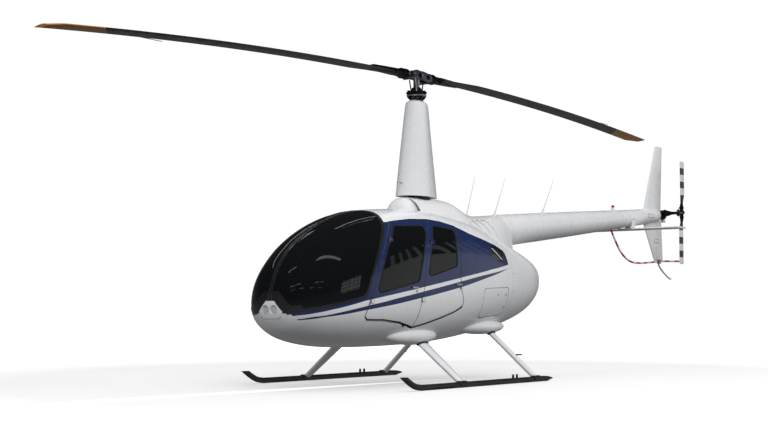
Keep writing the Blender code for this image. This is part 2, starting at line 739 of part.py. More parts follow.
def build_interior(craft):
    floor = inner_slab((BULKHEAD_X + SEAT_GAP, FLOOR_FRONT_X), (-1.0, 1.0), (FLOOR_Z - FLOOR_WALL, FLOOR_Z))
    craft.node("cabin_floor", floor, "cabin_trim")
    bulkhead = inner_slab((BULKHEAD_X - PLATE_WALL, BULKHEAD_X), (-1.0, 1.0), (0.3, 2.0))
    craft.node("cabin_bulkhead", bulkhead, "cabin_trim")
    craft.node("seat_front_left", seat(1.22, 0.78, FRONT_SEAT_Y, 0.46, 1.36, True), "seat_leather")
    craft.node("seat_front_right", seat(1.22, 0.78, -FRONT_SEAT_Y, 0.46, 1.36, True), "seat_leather")
    craft.node("seat_rear", seat(0.42, -0.05, 0.0, 1.16, 1.45, False), "seat_leather")
    stem = prism(CONSOLE_STEM, -0.10, 0.10)
    head = prism(CONSOLE_HEAD, -0.21, 0.21)
    craft.node("instrument_console", join(stem, head), "black_satin")
    foot_x, top = STICK_PATH[0][0], STICK_PATH[-1]
    stick = sweep([(foot_x, 0.0, FLOOR_Z + SEAT_GAP)] + curve_through(STICK_PATH, 2), circle(0.016, 8),
                  (0, 1, 0))
    bar = sweep(((top[0], -STICK_BAR_HALF, top[2] + 0.01), top, (top[0], STICK_BAR_HALF, top[2] + 0.01)),
                circle(0.014, 8), (0, 0, 1))
    grips = [turned(((0.90, 0.018), (1.05, 0.018)), (top[0], side * STICK_BAR_HALF, 0.0), "Z", 8)
             for side in (1, -1)]
    craft.node("cyclic_stick", join(stick, bar, *grips), "black_satin")
    firewall = inner_slab_cowl((FIREWALL_X - PLATE_WALL, FIREWALL_X), (-1.0, 1.0), (0.3, 2.0))
    craft.node("firewall", firewall, "bare_metal")
    block_front = FIREWALL_X - PLATE_WALL - SEAT_GAP
    engine = rounded_block((block_front - ENGINE_LENGTH, block_front), (-ENGINE_HALF, ENGINE_HALF),
                           ENGINE_HEIGHTS, 0.03)
    craft.node("engine_block", engine, "bare_metal")


def inner_slab_cowl(x, y, z):
    return within(fuselage_inside(COWL_WALL + SEAT_GAP), box(x, y, z))


# Cowls, mast fairing and tail

def half_section(x, top, half_width, base):
    ring = []
    steps = 14
    for k in range(steps + 1):
        angle = math.pi * k / steps
        c, s = math.cos(angle), math.sin(angle)
        power = 2 / COWL_ROUNDNESS
        ring.append(Vector((x, half_width * math.copysign(abs(c) ** power, c),
                            base + (top - base) * abs(s) ** power)))
    return ring


def cowl_solid(stations, shrink=0.0, base=COWL_BASE_Z):
    return loft([half_section(x, top - shrink, half - shrink, base) for x, top, half in stations])


def build_cowls(craft):
    aft = cut(fuselage_solid(0.0), fuselage_inside(COWL_WALL))
    within(aft, box((-3.0, CABIN_END_X - SEAT_GAP), (-2.0, 2.0), (-0.5, 3.0)))
    clear_of_blisters = blisters(SEAT_GAP)
    for bump in clear_of_blisters:
        cut(aft, bump)
    cut(aft, turned(((-0.4, EXHAUST_RADIUS + SEAT_GAP), (0.4, EXHAUST_RADIUS + SEAT_GAP)),
                    EXHAUST_EXIT, "Z", 16))
    craft.node("aft_cowl", aft, "white_paint")
    upper = cowl_solid(COWL)
    front, *others = COWL
    longer = [(front[0] + 0.05, *front[1:]), *others]
    mouth = within(cowl_solid(longer, COWL_LIP, COWL_BASE_Z + 0.02),
                   box((COWL[1][0] + 0.05, 0.5), (-0.5, 0.5), (1.0, 3.0)))
    cut(upper, mouth)
    join(upper, cowl_solid(MAST_BASE, 0.0, COWL_BASE_Z + 0.04))
    cut(upper, fuselage_solid(-SEAT_GAP))
    for slot in LOUVRES:
        for side in (1, -1):
            bite = within(cut(cowl_solid(COWL, -0.02), cowl_solid(COWL, LOUVRE_DEPTH)),
                          prism(slot, 0.05 * side, 0.6 * side))
            cut(upper, bite)
    craft.node("upper_cowl", upper, "white_paint")


def aerofoil(chord, thickness, steps=6, tail=0.0):
    """Points (behind the leading edge, across) round a symmetric aerofoil."""
    upper = []
    for k in range(steps + 1):
        s = (1 - math.cos(math.pi * k / steps)) / 2
        upper.append((s * chord, thickness / 2 * (2.598 * math.sqrt(s) * (1 - s) + tail * s)))
    lower = [(s, -t) for s, t in reversed(upper)]
    if tail == 0.0:
        return upper[:-1] + lower[:-1]
    return upper + lower[:-1]


def build_mast(craft):
    rings = []
    for z, nose, tail, width in MAST_FAIRING:
        rings.append([Vector((nose - s, t, z)) for s, t in aerofoil(nose - tail, width, 8)])
    fairing = loft(rings)
    join(fairing, turned(((COWL[1][1] + SEAT_GAP, 0.150), (2.060, 0.150)), (0.0, 0.0, 0.0)))
    cut(fairing, turned(((MAST_FOOT_Z - SEAT_GAP, MAST_RADIUS + RUN_GAP), (3.30, MAST_RADIUS + RUN_GAP)),
                        (0, 0, 0)))
    craft.node("mast_fairing", fairing, "white_paint")
    plate = turned(FIXED_PLATE, (0, 0, 0))
    cut(plate, turned(((3.0, MAST_RADIUS + RUN_GAP), (3.3, MAST_RADIUS + RUN_GAP)), (0, 0, 0)))
    craft.node("swashplate_fixed", plate, "bare_metal")


def fin_solid(stations, tail=0.25):
    rings = []
    for lead, trail, z, thickness in stations:
        rings.append([Vector((lead - s, t, z)) for s, t in aerofoil(lead - trail, thickness, 7, tail)])
    return loft(rings)


def gearbox_solid(grow):
    """The tail gearbox with its output shaft, or a cutter that leaves a gap round it.

    The cutter starts inside the tailcone, so that their end faces don't coincide.
    """
    front = 0.02 if grow else 0.0
    body = turned(((front, 0.046 + grow), (-0.06, 0.060 + grow), (-0.20, 0.060 + grow),
                   (-0.235 - grow, 0.035 + grow)),
                  (TAILCONE[-1][0] - SEAT_GAP, 0.0, TAILCONE[-1][1]), "X", 12)
    shaft = turned(((-0.03, 0.048 + grow), (0.10, 0.042 + grow), (0.175, 0.024 + grow),
                    (TAIL_ROTOR_Y - TAIL_HUB_INNER - SEAT_GAP, 0.024 + grow)),
                   (TAIL_ROTOR_X, 0.0, TAIL_ROTOR_Z), "Y", 12)
    return join(body, shaft)


def tailcone_solid(grow):
    rings = []
    for x, z, radius in TAILCONE:
        rings.append([Vector((x, y, z + height)) for y, height in circle(radius + grow, 20)])
    return loft(rings)


def stabiliser_solid():
    """The plane with thin rounded tips, and the block that hangs it under the tailcone."""
    rings = []
    flat_half = STABILISER_HALF - STABILISER_CAP
    for y, inset, thickness in ((-STABILISER_HALF, STABILISER_CAP, 0.008),
                                (-flat_half, 0.0, STABILISER_THICKNESS),
                                (flat_half, 0.0, STABILISER_THICKNESS),
                                (STABILISER_HALF, STABILISER_CAP, 0.008)):
        section = aerofoil(STABILISER_CHORD - 1.5 * inset, thickness, 6, 0.15)
        rings.append([Vector((STABILISER_X - inset - s, y, STABILISER_Z + t)) for s, t in section])
    block = box((STABILISER_X - 0.20, STABILISER_X - 0.05), (-0.045, 0.045),
                (STABILISER_Z, STABILISER_Z + 0.095))
    return join(loft(rings), block)


def build_tail(craft):
    cone = tailcone_solid(0.0)
    cut(cone, fuselage_solid(-SEAT_GAP))
    cut(cone, box((COWL_END_X - SEAT_GAP, 0.0), (-1.0, 1.0), (1.0, 3.0)))
    clear = tailcone_solid(SEAT_GAP)
    craft.node("tail_gearbox", gearbox_solid(0.0), "black_satin")
    gearbox_clear = gearbox_solid(SEAT_GAP)
    for name, stations in (("upper_fin", UPPER_FIN), ("lower_fin", LOWER_FIN)):
        fin = cut(fin_solid(stations), clear, True)
        craft.node(name, cut(fin, gearbox_clear, True), "white_paint")
    bpy.data.objects.remove(gearbox_clear)
    craft.node("stabiliser", cut(stabiliser_solid(), clear, True), "white_paint")
    guard = sweep(curve_through(GUARD_PATH, 2), circle(GUARD_RADIUS, 8), (0, 1, 0))
    within(guard, box((GUARD_END_X, -4.0), (-0.5, 0.5), (1.2, 2.2)))
    join(guard, sweep(curve_through(TAIL_SKID_PATH, 2), circle(TAIL_SKID_RADIUS, 8), (0, 1, 0)))
    fin_clear = fin_solid([(a + SEAT_GAP, b - SEAT_GAP, z + SEAT_GAP * s, t + 2 * SEAT_GAP)
                           for (a, b, z, t), s in zip(LOWER_FIN, (1, -1))])
    cut(guard, fin_clear)
    craft.node("tail_guard", cut(guard, clear), "red_white")
    craft.node("tailcone", cone, "white_paint")


# Landing gear and small pieces outside

def build_gear(craft):
    hull = join(fuselage_solid(-SEAT_GAP), *blisters(SEAT_GAP))
    for name, (top_x, top_chord, foot_x, foot_chord, top_y, top_z) in STRUTS.items():
        foot_z = 2 * SKID_RADIUS - SADDLE_WALL
        rings = []
        for t in (0.0, 0.5, 1.0):
            x = top_x + (foot_x - top_x) * t
            y = top_y + (SKID_Y - SADDLE_WALL - top_y) * t
            z = top_z + (foot_z - top_z) * t
            chord = top_chord + (foot_chord - top_chord) * t
            section = aerofoil(chord, STRUT_THICKNESS, 7, 0.1)
            rings.append([Vector((x + 0.35 * chord - s, y + 0.72 * w, z + 0.69 * w)) for s, w in section])
        strut = cut(loft(rings), hull, True)
        saddle_radius = SKID_RADIUS + SADDLE_WALL
        saddle = turned(((foot_x - 0.07, saddle_radius), (foot_x + 0.07, saddle_radius)),
                        (0.0, SKID_Y, SKID_RADIUS), "X", 12)
        join(strut, saddle)
        cut(strut, turned(((foot_x - 0.5, SKID_RADIUS + SEAT_GAP), (foot_x + 0.5, SKID_RADIUS + SEAT_GAP)),
                          (0.0, SKID_Y, SKID_RADIUS), "X", 12))
        cut(strut, box((foot_x - 0.5, foot_x + 0.5), (0.8, 1.4), (-0.1, SKID_RADIUS - 0.010)))
        craft.node(f"{name}_right", mirrored(strut), "white_paint")
        craft.node(f"{name}_left", strut, "white_paint")
    bpy.data.objects.remove(hull)
    path = curve_through(SKID_TOE, 2)
    path = path + [Vector((x, SKID_Y, SKID_RADIUS)) for x in (0.9, 0.0, -0.9, -1.0, SKID_REAR_X)]
    scales = [1.0] * (len(path) - 2) + [0.8, 0.15]
    skid = sweep(path, circle(SKID_RADIUS, 12), (0, 1, 0), scales)
    craft.node("skid_right", mirrored(skid), "black_satin")
    craft.node("skid_left", skid, "black_satin")


def cone_top(x):
    """Height of the tailcone's upper line at x."""
    for (x0, z0, r0), (x1, z1, r1) in zip(TAILCONE, TAILCONE[1:]):
        if x1 <= x <= x0:
            t = (x - x0) / (x1 - x0)
            return z0 + r0 + (z1 + r1 - z0 - r0) * t
    return TAILCONE[0][1] + TAILCONE[0][2]


def cowl_top(x):
    """Height of the upper cowl's top line at x."""
    for (x0, z0, _), (x1, z1, _) in zip(COWL, COWL[1:]):
        if x1 <= x <= x0:
            return z0 + (z1 - z0) * (x - x0) / (x1 - x0)
    return cone_top(x)


def build_aerials(craft):
    """Each foot starts below the skin under it and is cut to lie on that skin."""
    cone = tailcone_solid(SEAT_GAP)
    cowl = cowl_solid(COWL, -SEAT_GAP)
    for name, (base_x, tip_x, tip_z) in AERIALS.items():
        on_cowl = base_x > COWL_END_X
        base_z = cowl_top(base_x) if on_cowl else cone_top(base_x)
        foot = turned(((base_z - 0.010, 0.028), (base_z + 0.010, 0.026), (base_z + 0.05, 0.008)),
                      (base_x, 0.0, 0.0), "Z", 12)
        whip = sweep(((base_x, 0, base_z + 0.02), (tip_x, 0, tip_z)), circle(0.0045, 8), (0, 1, 0),
                     (1.3, 0.6))
        join(foot, whip)
        craft.node(name, cut(foot, cowl if on_cowl else cone, True), "white_paint")
    top = cone_top(BEACON_X)
    lamp = turned(((top - 0.010, 0.026), (top + 0.03, 0.026), (top + 0.031, 0.020), (top + 0.062, 0.018),
                   (top + 0.070, 0.010)), (BEACON_X, 0.0, 0.0), "Z", 14)
    craft.node("beacon", cut(lamp, cone), "bare_metal")
    bpy.data.objects.remove(cowl)


def build_exhaust(craft):
    x, y, z = EXHAUST_EXIT
    pipe = turned(((-0.150, EXHAUST_RADIUS), (0.230, EXHAUST_RADIUS)), (x, y, z), "Z", 16)
    bore = EXHAUST_RADIUS - EXHAUST_WALL
    cut(pipe, turned(((-0.2, bore), (0.20, bore)), (x, y, z), "Z", 16))
    craft.node("exhaust_pipe", pipe, "bare_metal")


# Rotors

def blade_solid(side):
    """One main blade, hanging a little towards its tip. Its leading edge faces the way it turns."""
    rings = []
    root_length = BLADE_ROOT_END - BLADE_STATIONS[0]
    tip_length = ROTOR_RADIUS - BLADE_TIP_START
    for radius in BLADE_STATIONS:
        z = HUB_Z - BLADE_DROOP * (radius / ROTOR_RADIUS) ** 2
        root = max(0.0, (BLADE_ROOT_END - radius) / root_length)
        chord = BLADE_CHORD * (1 - 0.45 * root)
        swept = 0.10 * max(0.0, (radius - BLADE_TIP_START) / tip_length)
        thickness = BLADE_THICKNESS * (1 + 0.8 * root)
        section = aerofoil(chord - swept, thickness, 6, 0.08)
        rings.append([Vector((side * radius, side * (0.25 * chord - swept - s), z + t))
                      for s, t in section])
    return loft(rings)


def build_main_rotor(craft):
    spin = craft.pivot("main_rotor_axis", (0.0, 0.0, HUB_Z))
    hub = rounded_block((-0.20, 0.20), (-0.060, 0.060), (HUB_Z - 0.055, HUB_Z + 0.050), 0.014, 2)
    mast = turned(((MAST_FOOT_Z, MAST_RADIUS), (HUB_Z + 0.02, MAST_RADIUS)), (0, 0, 0), "Z", 14)
    cap = turned(((HUB_Z + 0.04, 0.050), (HUB_Z + 0.066, 0.046), (HUB_Z + 0.075, 0.030)), (0, 0, 0))
    teeter = turned(((-0.105, 0.030), (0.105, 0.030)), (0, 0, HUB_Z), "Y", 12)
    star = turned(TURNING_PLATE, (0, 0, 0))
    sleeve = turned(TURNING_SLEEVE, (0, 0, 0))
    pieces = [mast, cap, teeter, star, sleeve]
    for side in (1, -1):
        pieces.append(turned(((side * 0.14, 0.062), (side * 0.26, 0.062), (side * 0.30, 0.048),
                              (side * 0.43, 0.044)), (0, 0, HUB_Z), "X", 12))
        pieces.append(rounded_block(sorted((side * 0.19, side * 0.25)),
                                    sorted((side * 0.02, side * 0.165)),
                                    (HUB_Z - 0.060, HUB_Z - 0.022), 0.008, 1))
        pieces.append(sweep(((side * 0.095, side * 0.055, 3.222), (side * 0.218, side * 0.140, HUB_Z - 0.04)),
                            circle(0.011, 8), (0, 0, 1)))
    craft.node("rotor_hub", join(hub, *pieces, solver="MANIFOLD"), "black_satin", spin)
    for name, side in (("main_blade_fore", 1), ("main_blade_aft", -1)):
        blade = blade_solid(side)
        cut(blade, turned(((0.0, 0.0484), (side * 0.4303, 0.0484)), (0, 0, HUB_Z), "X", 12))
        craft.node(name, blade, "black_satin", spin)


def build_tail_rotor(craft):
    place = (TAIL_ROTOR_X, TAIL_ROTOR_Y, TAIL_ROTOR_Z)
    spin = craft.pivot("tail_rotor_axis", place)
    hub = turned(((-TAIL_HUB_INNER, 0.022), (-0.030, 0.030), (0.030, 0.030), (0.045, 0.018)), place, "Y", 12)
    for side in (1, -1):
        join(hub, turned(((side * 0.0, 0.030), (side * 0.125, 0.026)), place, "Z", 10))
    craft.node("tail_rotor_hub", hub, "black_satin", spin)
    for name, side in (("tail_blade_upper", 1), ("tail_blade_lower", -1)):
        rings = []
        for radius, chord, thickness in TAIL_BLADE:
            section = aerofoil(chord, thickness, 6, 0.1)
            rings.append([Vector((place[0] + side * (0.30 * chord - s), place[1] + t,
                                  place[2] + side * radius)) for s, t in section])
        craft.node(name, loft(rings), "white_paint", spin)


def build():
    clear_scene()
    craft = Aircraft()
    build_cabin(craft)
    build_windshield(craft)
    build_lamp_panel(craft)
    build_doors(craft)
    build_interior(craft)
    build_cowls(craft)
    build_mast(craft)
    build_tail(craft)
    build_gear(craft)
    build_aerials(craft)
    build_exhaust(craft)
    build_main_rotor(craft)
    build_tail_rotor(craft)


build()
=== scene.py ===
"""The looks of a light turbine helicopter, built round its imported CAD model.

Shapes are in metres in the aircraft's own measures, X = 0 on the main rotor's axis, and are moved
to the frame's origin when they are placed. The nose points to +X and port is +Y.
"""
import json
import math
import random

import bmesh
import bpy
import numpy as np
from mathutils import Matrix, Vector

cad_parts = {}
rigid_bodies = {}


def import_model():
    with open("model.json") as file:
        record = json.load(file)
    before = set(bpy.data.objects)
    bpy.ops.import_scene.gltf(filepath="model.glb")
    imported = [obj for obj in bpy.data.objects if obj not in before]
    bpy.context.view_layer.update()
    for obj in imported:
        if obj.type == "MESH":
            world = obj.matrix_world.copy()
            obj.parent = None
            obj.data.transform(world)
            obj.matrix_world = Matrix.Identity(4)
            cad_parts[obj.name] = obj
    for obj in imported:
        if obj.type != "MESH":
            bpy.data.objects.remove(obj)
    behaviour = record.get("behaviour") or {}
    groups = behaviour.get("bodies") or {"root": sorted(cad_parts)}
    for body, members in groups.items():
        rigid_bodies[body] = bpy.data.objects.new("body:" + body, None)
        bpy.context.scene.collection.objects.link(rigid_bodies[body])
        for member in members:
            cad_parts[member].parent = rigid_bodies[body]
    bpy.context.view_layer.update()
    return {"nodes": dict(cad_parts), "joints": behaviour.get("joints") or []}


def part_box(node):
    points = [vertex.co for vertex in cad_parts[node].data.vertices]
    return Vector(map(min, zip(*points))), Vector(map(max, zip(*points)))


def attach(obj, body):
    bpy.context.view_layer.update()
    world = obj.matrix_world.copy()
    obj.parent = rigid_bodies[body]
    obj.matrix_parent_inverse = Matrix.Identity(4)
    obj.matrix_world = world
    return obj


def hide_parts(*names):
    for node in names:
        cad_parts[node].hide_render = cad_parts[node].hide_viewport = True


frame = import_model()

JOINTS = {joint["name"]: joint for joint in frame["joints"]}
MAST_X = JOINTS["main_rotor_spin"]["pos_m"][0]
HUB_Z = JOINTS["main_rotor_spin"]["pos_m"][2]
TAIL_ROTOR = Vector(JOINTS["tail_rotor_spin"]["pos_m"]) - Vector((MAST_X, 0.0, 0.0))

# The camera of the photograph
CAMERA_PLACE = (12.4705, 9.0681, 0.8142)
CAMERA_YAW = 3.8188
CAMERA_PITCH = 0.0682
CAMERA_LENS = 62.84

# Walls and gaps of the skins
SHELL_WALL = 0.030
DOOR_WALL = 0.024
COWL_WALL = 0.015
DOOR_GAP = 0.010
FOOT_DROP = 0.013
JAMB_DEPTH = 0.0295
DIVIDER_SHIFT = 0.0037
CABIN_END_X = -0.95
COWL_END_X = -1.60
SEAM = 0.003

# Fuselage stations: x, lowest z, highest z, half width, z of the widest point,
# roundness below and above it (2 is an ellipse, more is squarer)
FUSELAGE = (
    (2.366, 0.810, 0.810, 0.000, 0.810, 2.0, 2.0),
    (2.362, 0.765, 0.850, 0.060, 0.810, 2.0, 2.0),
    (2.348, 0.700, 0.940, 0.160, 0.820, 2.0, 2.0),
    (2.320, 0.645, 1.050, 0.250, 0.830, 2.0, 2.0),
    (2.270, 0.585, 1.165, 0.335, 0.845, 2.1, 2.0),
    (2.190, 0.535, 1.290, 0.420, 0.860, 2.1, 2.0),
    (2.060, 0.485, 1.415, 0.510, 0.885, 2.2, 2.0),
    (1.870, 0.445, 1.550, 0.600, 0.910, 2.3, 2.1),
    (1.620, 0.415, 1.680, 0.670, 0.950, 2.4, 2.2),
    (1.320, 0.405, 1.785, 0.710, 0.980, 2.5, 2.4),
    (1.000, 0.405, 1.845, 0.730, 1.000, 2.5, 2.6),
    (0.600, 0.410, 1.875, 0.735, 1.020, 2.5, 2.7),
    (0.200, 0.425, 1.880, 0.735, 1.050, 2.5, 2.7),
    (-0.200, 0.455, 1.855, 0.720, 1.070, 2.4, 2.6),
    (-0.600, 0.500, 1.790, 0.690, 1.090, 2.3, 2.5),
    (-0.950, 0.545, 1.700, 0.645, 1.100, 2.3, 2.4),
    (-1.300, 0.605, 1.605, 0.585, 1.110, 2.3, 2.3),
    (-1.590, 0.680, 1.520, 0.520, 1.120, 2.3, 2.3),
    (-1.780, 0.755, 1.460, 0.455, 1.130, 2.3, 2.3),
    (-1.920, 0.845, 1.410, 0.385, 1.140, 2.3, 2.3),
    (-2.005, 0.945, 1.360, 0.300, 1.160, 2.2, 2.2),
    (-2.040, 1.050, 1.300, 0.180, 1.180, 2.1, 2.1),
    (-2.055, 1.180, 1.180, 0.000, 1.180, 2.0, 2.0),
)

# Outlines seen from the side, as (x, z)
ROOF_EDGE = (
    (1.400, 1.690), (1.150, 1.690), (1.020, 1.706), (0.776, 1.735), (0.510, 1.750),
    (0.286, 1.733), (0.050, 1.690), (-0.170, 1.623), (-0.460, 1.562), (-0.680, 1.515),
    (-0.840, 1.460), (-1.000, 1.380),
)
DIVIDER = (
    (0.486, 1.744), (0.600, 1.627), (0.700, 1.450), (0.776, 1.270), (0.812, 1.100),
    (0.838, 0.967), (0.876, 0.790), (0.892, 0.621),
)
FRONT_DOOR_FRONT = (
    (1.620, 0.703), (1.655, 0.726), (1.640, 0.819), (1.600, 0.926), (1.500, 1.164),
    (1.390, 1.367), (1.276, 1.510), (1.175, 1.628), (1.105, 1.690),
)
FRONT_DOOR_TOP = ((1.020, 1.703), (0.776, 1.732))
FRONT_DOOR_FOOT = ((1.144, 0.671), (1.400, 0.700))
REAR_DOOR_TOP = ((0.286, 1.730), (0.064, 1.688))
REAR_DOOR_AFT = ((0.114, 1.540), (0.171, 1.325), (0.190, 1.120), (0.170, 1.000), (0.120, 0.880))
REAR_DOOR_FOOT = ((0.135, 0.832), (0.257, 0.781), (0.486, 0.715), (0.717, 0.657))
FRONT_WINDOW = (
    (1.098, 1.652), (0.615, 1.678), (0.776, 1.407), (0.863, 1.217), (0.905, 1.082),
    (1.545, 0.945), (1.453, 1.188), (1.320, 1.409),
)
REAR_WINDOW = (
    (0.486, 1.682), (0.126, 1.652), (0.200, 1.482), (0.229, 1.301), (0.240, 1.250),
    (0.765, 1.124), (0.687, 1.358), (0.571, 1.572),
)
BAGGAGE_DOOR = ((-0.290, 0.700), (-0.290, 1.020), (-0.860, 1.040), (-0.860, 0.740))
WINDSHIELD = (
    (2.600, 0.600), (2.600, 2.000), (1.060, 2.000), (1.105, 1.800), (1.166, 1.710),
    (1.232, 1.618), (1.342, 1.491), (1.431, 1.367), (1.517, 1.237), (1.600, 1.083),
    (1.655, 0.945), (1.697, 0.906), (1.804, 0.882), (1.959, 0.843), (2.132, 0.804),
    (2.275, 0.776), (2.330, 0.742), (2.345, 0.600),
)
SIDE_INLET = (
    (-0.545, 1.504), (-0.678, 1.495), (-0.827, 1.440), (-0.800, 1.335), (-0.627, 1.325),
    (-0.480, 1.386),
)

# What shows in the side inlet: a slanted bar and the paler screen under it, as outline, depth
# below the skin and finish
INLET_VANES = (
    (((-0.560, 1.478), (-0.582, 1.478), (-0.760, 1.352), (-0.738, 1.352)), 0.006, "white"),
    (((-0.500, 1.405), (-0.620, 1.405), (-0.700, 1.345), (-0.630, 1.336), (-0.500, 1.385)), 0.011, "trim"),
)

# Outlines seen from ahead, as (y, z)
NOSE_PLATE = (
    (-0.330, 0.500), (0.330, 0.500), (0.270, 0.748), (0.205, 0.744), (0.058, 0.889),
    (-0.058, 0.889), (-0.205, 0.744), (-0.270, 0.748),
)
LAMP_PANEL = (
    (0.053, 0.881), (0.160, 0.770), (0.120, 0.704), (-0.120, 0.704), (-0.160, 0.770),
    (-0.053, 0.881),
)
LAMP_Y = 0.056
LAMP_Z = 0.790
LAMP_RADIUS = 0.048
BOW_HALF = 0.024

# Edges of the painted bands on the side, as (x, z): the navy field's upper edge, the white
# stripe's two edges and the lower edge of the thin navy stripe
NAVY_TOP = (
    (2.400, 1.700), (1.166, 1.690), (1.025, 1.704), (0.776, 1.733), (0.514, 1.748), (0.286, 1.731),
    (0.057, 1.688), (-0.171, 1.621), (-0.461, 1.560), (-0.678, 1.520), (-0.827, 1.466),
    (-0.868, 1.410), (-0.876, 1.320), (-0.880, 1.240), (-1.000, 1.100),
)
WHITE_STRIPE_TOP = (
    (2.400, 0.700), (2.301, 0.732), (2.227, 0.746), (2.141, 0.765), (2.043, 0.789), (1.933, 0.816),
    (1.810, 0.847), (1.674, 0.882), (1.600, 0.896), (1.441, 0.924), (1.271, 0.953), (1.089, 0.983),
    (0.896, 1.015), (0.693, 1.048), (0.484, 1.082), (0.268, 1.118), (0.039, 1.155), (-0.206, 1.193),
    (-0.469, 1.236), (-0.610, 1.256), (-0.880, 1.300),
)
THIN_STRIPE_TOP = (
    (2.400, 0.680), (2.254, 0.705), (2.177, 0.722), (2.084, 0.736), (1.981, 0.759), (1.867, 0.785),
    (1.738, 0.813), (1.595, 0.843), (1.437, 0.871), (1.269, 0.904), (1.088, 0.936), (0.896, 0.970),
    (0.693, 1.004), (0.484, 1.040), (0.269, 1.077), (0.040, 1.116), (-0.203, 1.156), (-0.464, 1.194),
    (-0.603, 1.214), (-0.880, 1.262),
)
THIN_STRIPE_FOOT = (
    (2.400, 0.672), (2.250, 0.693), (2.170, 0.703), (2.079, 0.721), (1.975, 0.736), (1.859, 0.754),
    (1.730, 0.778), (1.588, 0.800), (1.430, 0.824), (1.262, 0.849), (1.083, 0.878), (0.893, 0.910),
    (0.691, 0.941), (0.484, 0.977), (0.269, 1.014), (0.041, 1.058), (-0.201, 1.109), (-0.461, 1.163),
    (-0.600, 1.193), (-0.880, 1.262),
)
# The bands stop short of the nose: half width and height where they end, and the end line's slant
BAND_END_Y = 0.232
BAND_END_Z = 0.756
BAND_END_SLANT = 0.84

# Lugs on the hull over the strut roots: x, y, z, half length, half width, half height
BLISTERS = ((0.760, 0.500, 0.520, 0.420, 0.120, 0.095), (-0.560, 0.450, 0.600, 0.460, 0.120, 0.085))

# Upper cowl sections: x, top z, half width
COWL_BASE_Z = 1.46
COWL_ROUNDNESS = 2.4
COWL = (
    (0.250, 2.028, 0.320), (0.050, 2.034, 0.335), (-0.200, 2.034, 0.350), (-0.380, 2.026, 0.356),
    (-0.470, 2.006, 0.360), (-0.573, 1.966, 0.362), (-0.680, 1.922, 0.362), (-0.800, 1.893, 0.358),
    (-0.950, 1.882, 0.350), (-1.150, 1.892, 0.325), (-1.350, 1.908, 0.290), (-1.500, 1.922, 0.250),
    (-1.600, 1.934, 0.222),
)
MAST_BASE = (
    (0.388, 1.900, 0.150), (0.372, 1.940, 0.195), (0.345, 1.980, 0.218), (0.305, 2.012, 0.232),
    (0.260, 2.022, 0.240), (-0.050, 2.022, 0.245),
)

# Louvres in the upper cowl, as outlines seen from the side
LOUVRES = (
    ((-0.657, 1.795), (-0.733, 1.806), (-0.800, 1.740), (-0.832, 1.660), (-0.780, 1.672), (-0.722, 1.730)),
    ((-0.775, 1.812), (-0.872, 1.822), (-0.955, 1.740), (-1.003, 1.632), (-0.936, 1.648), (-0.860, 1.740)),
    ((-0.917, 1.830), (-1.034, 1.834), (-1.110, 1.740), (-1.160, 1.604), (-1.080, 1.620), (-1.010, 1.730)),
)
DARK_SLOT = ((-0.572, 1.776), (-0.594, 1.782), (-0.652, 1.694), (-0.574, 1.690))

# Mast fairing sections: z, x of the nose, x of the tail, thickness
MAST_FAIRING = (
    (2.045, 0.290, -0.380, 0.340), (2.300, 0.255, -0.340, 0.312), (2.700, 0.198, -0.275, 0.262),
    (3.060, 0.145, -0.222, 0.215), (3.105, 0.132, -0.205, 0.195), (3.125, 0.100, -0.165, 0.140),
)

# Tailcone stations: x, centre z, radius
TAILCONE = (
    (-1.600, 1.738, 0.196), (-2.400, 1.816, 0.180), (-3.200, 1.894, 0.163), (-4.400, 2.013, 0.132),
    (-5.600, 2.133, 0.101), (-5.660, 2.139, 0.097), (-5.700, 2.143, 0.085), (-5.722, 2.145, 0.062),
    (-5.730, 2.146, 0.030),
)

# Fins, as (x of the leading edge, x of the trailing edge, z, thickness)
UPPER_FIN = ((-5.290, -5.826, 2.140, 0.052), (-5.690, -5.905, 3.140, 0.026))
LOWER_FIN = ((-5.270, -5.850, 2.080, 0.052), (-5.620, -5.890, 1.490, 0.026))

# Struts from hull to skid: x and chord at the top, x and chord at the skid, y and z of the top
STRUTS = {
    "strut_front": (0.655, 0.200, 0.645, 0.110, 0.420, 0.545),
    "strut_rear": (-0.700, 0.120, -0.750, 0.085, 0.400, 0.620),
}
SKID_Y = 1.07
SKID_RADIUS = 0.030
SKID_TOE_Z = 0.140

# Main rotor
ROTOR_RADIUS = 5.03
BLADE_CHORD = 0.262
BLADE_THICKNESS = 0.030
BLADE_DROOP = 0.24
GOLD_START = 4.42
GOLD_SLANT = 0.24

# Brightness that the floor has by itself under the craft
FLOOR_GLOW = 0.45

random.seed(7)


# Meshes

def temp(mesh, finish=None):
    """An object that holds the mesh while it is shaped."""
    thing = bpy.data.objects.new("shape", mesh)
    bpy.context.scene.collection.objects.link(thing)
    if finish:
        mesh.materials.append(finish)
    return thing


def mesh_from(bm):
    bmesh.ops.recalc_face_normals(bm, faces=bm.faces)
    if bm.calc_volume(signed=True) < 0:
        bmesh.ops.reverse_faces(bm, faces=bm.faces)
    mesh = bpy.data.meshes.new("shape")
    bm.to_mesh(mesh)
    bm.free()
    return mesh


def loft(rings, finish=None, closed=True):
    """A skin of quads between rings of points. A ring of one point is a tip."""
    bm = bmesh.new()
    rows = [[bm.verts.new(point) for point in ring] for ring in rings]
    for near, far in zip(rows, rows[1:]):
        count = max(len(near), len(far))
        for i in range(count if closed else count - 1):
            j = (i + 1) % count
            corners = [near[i % len(near)], near[j % len(near)], far[j % len(far)], far[i % len(far)]]
            corners = list(dict.fromkeys(corners))
            bm.faces.new(corners)
    if closed:
        for row in (rows[0], rows[-1]):
            if len(row) > 2:
                bm.faces.new(row)
        return temp(mesh_from(bm), finish)
    mesh = bpy.data.meshes.new("shape")
    bm.to_mesh(mesh)
    bm.free()
    return temp(mesh, finish)


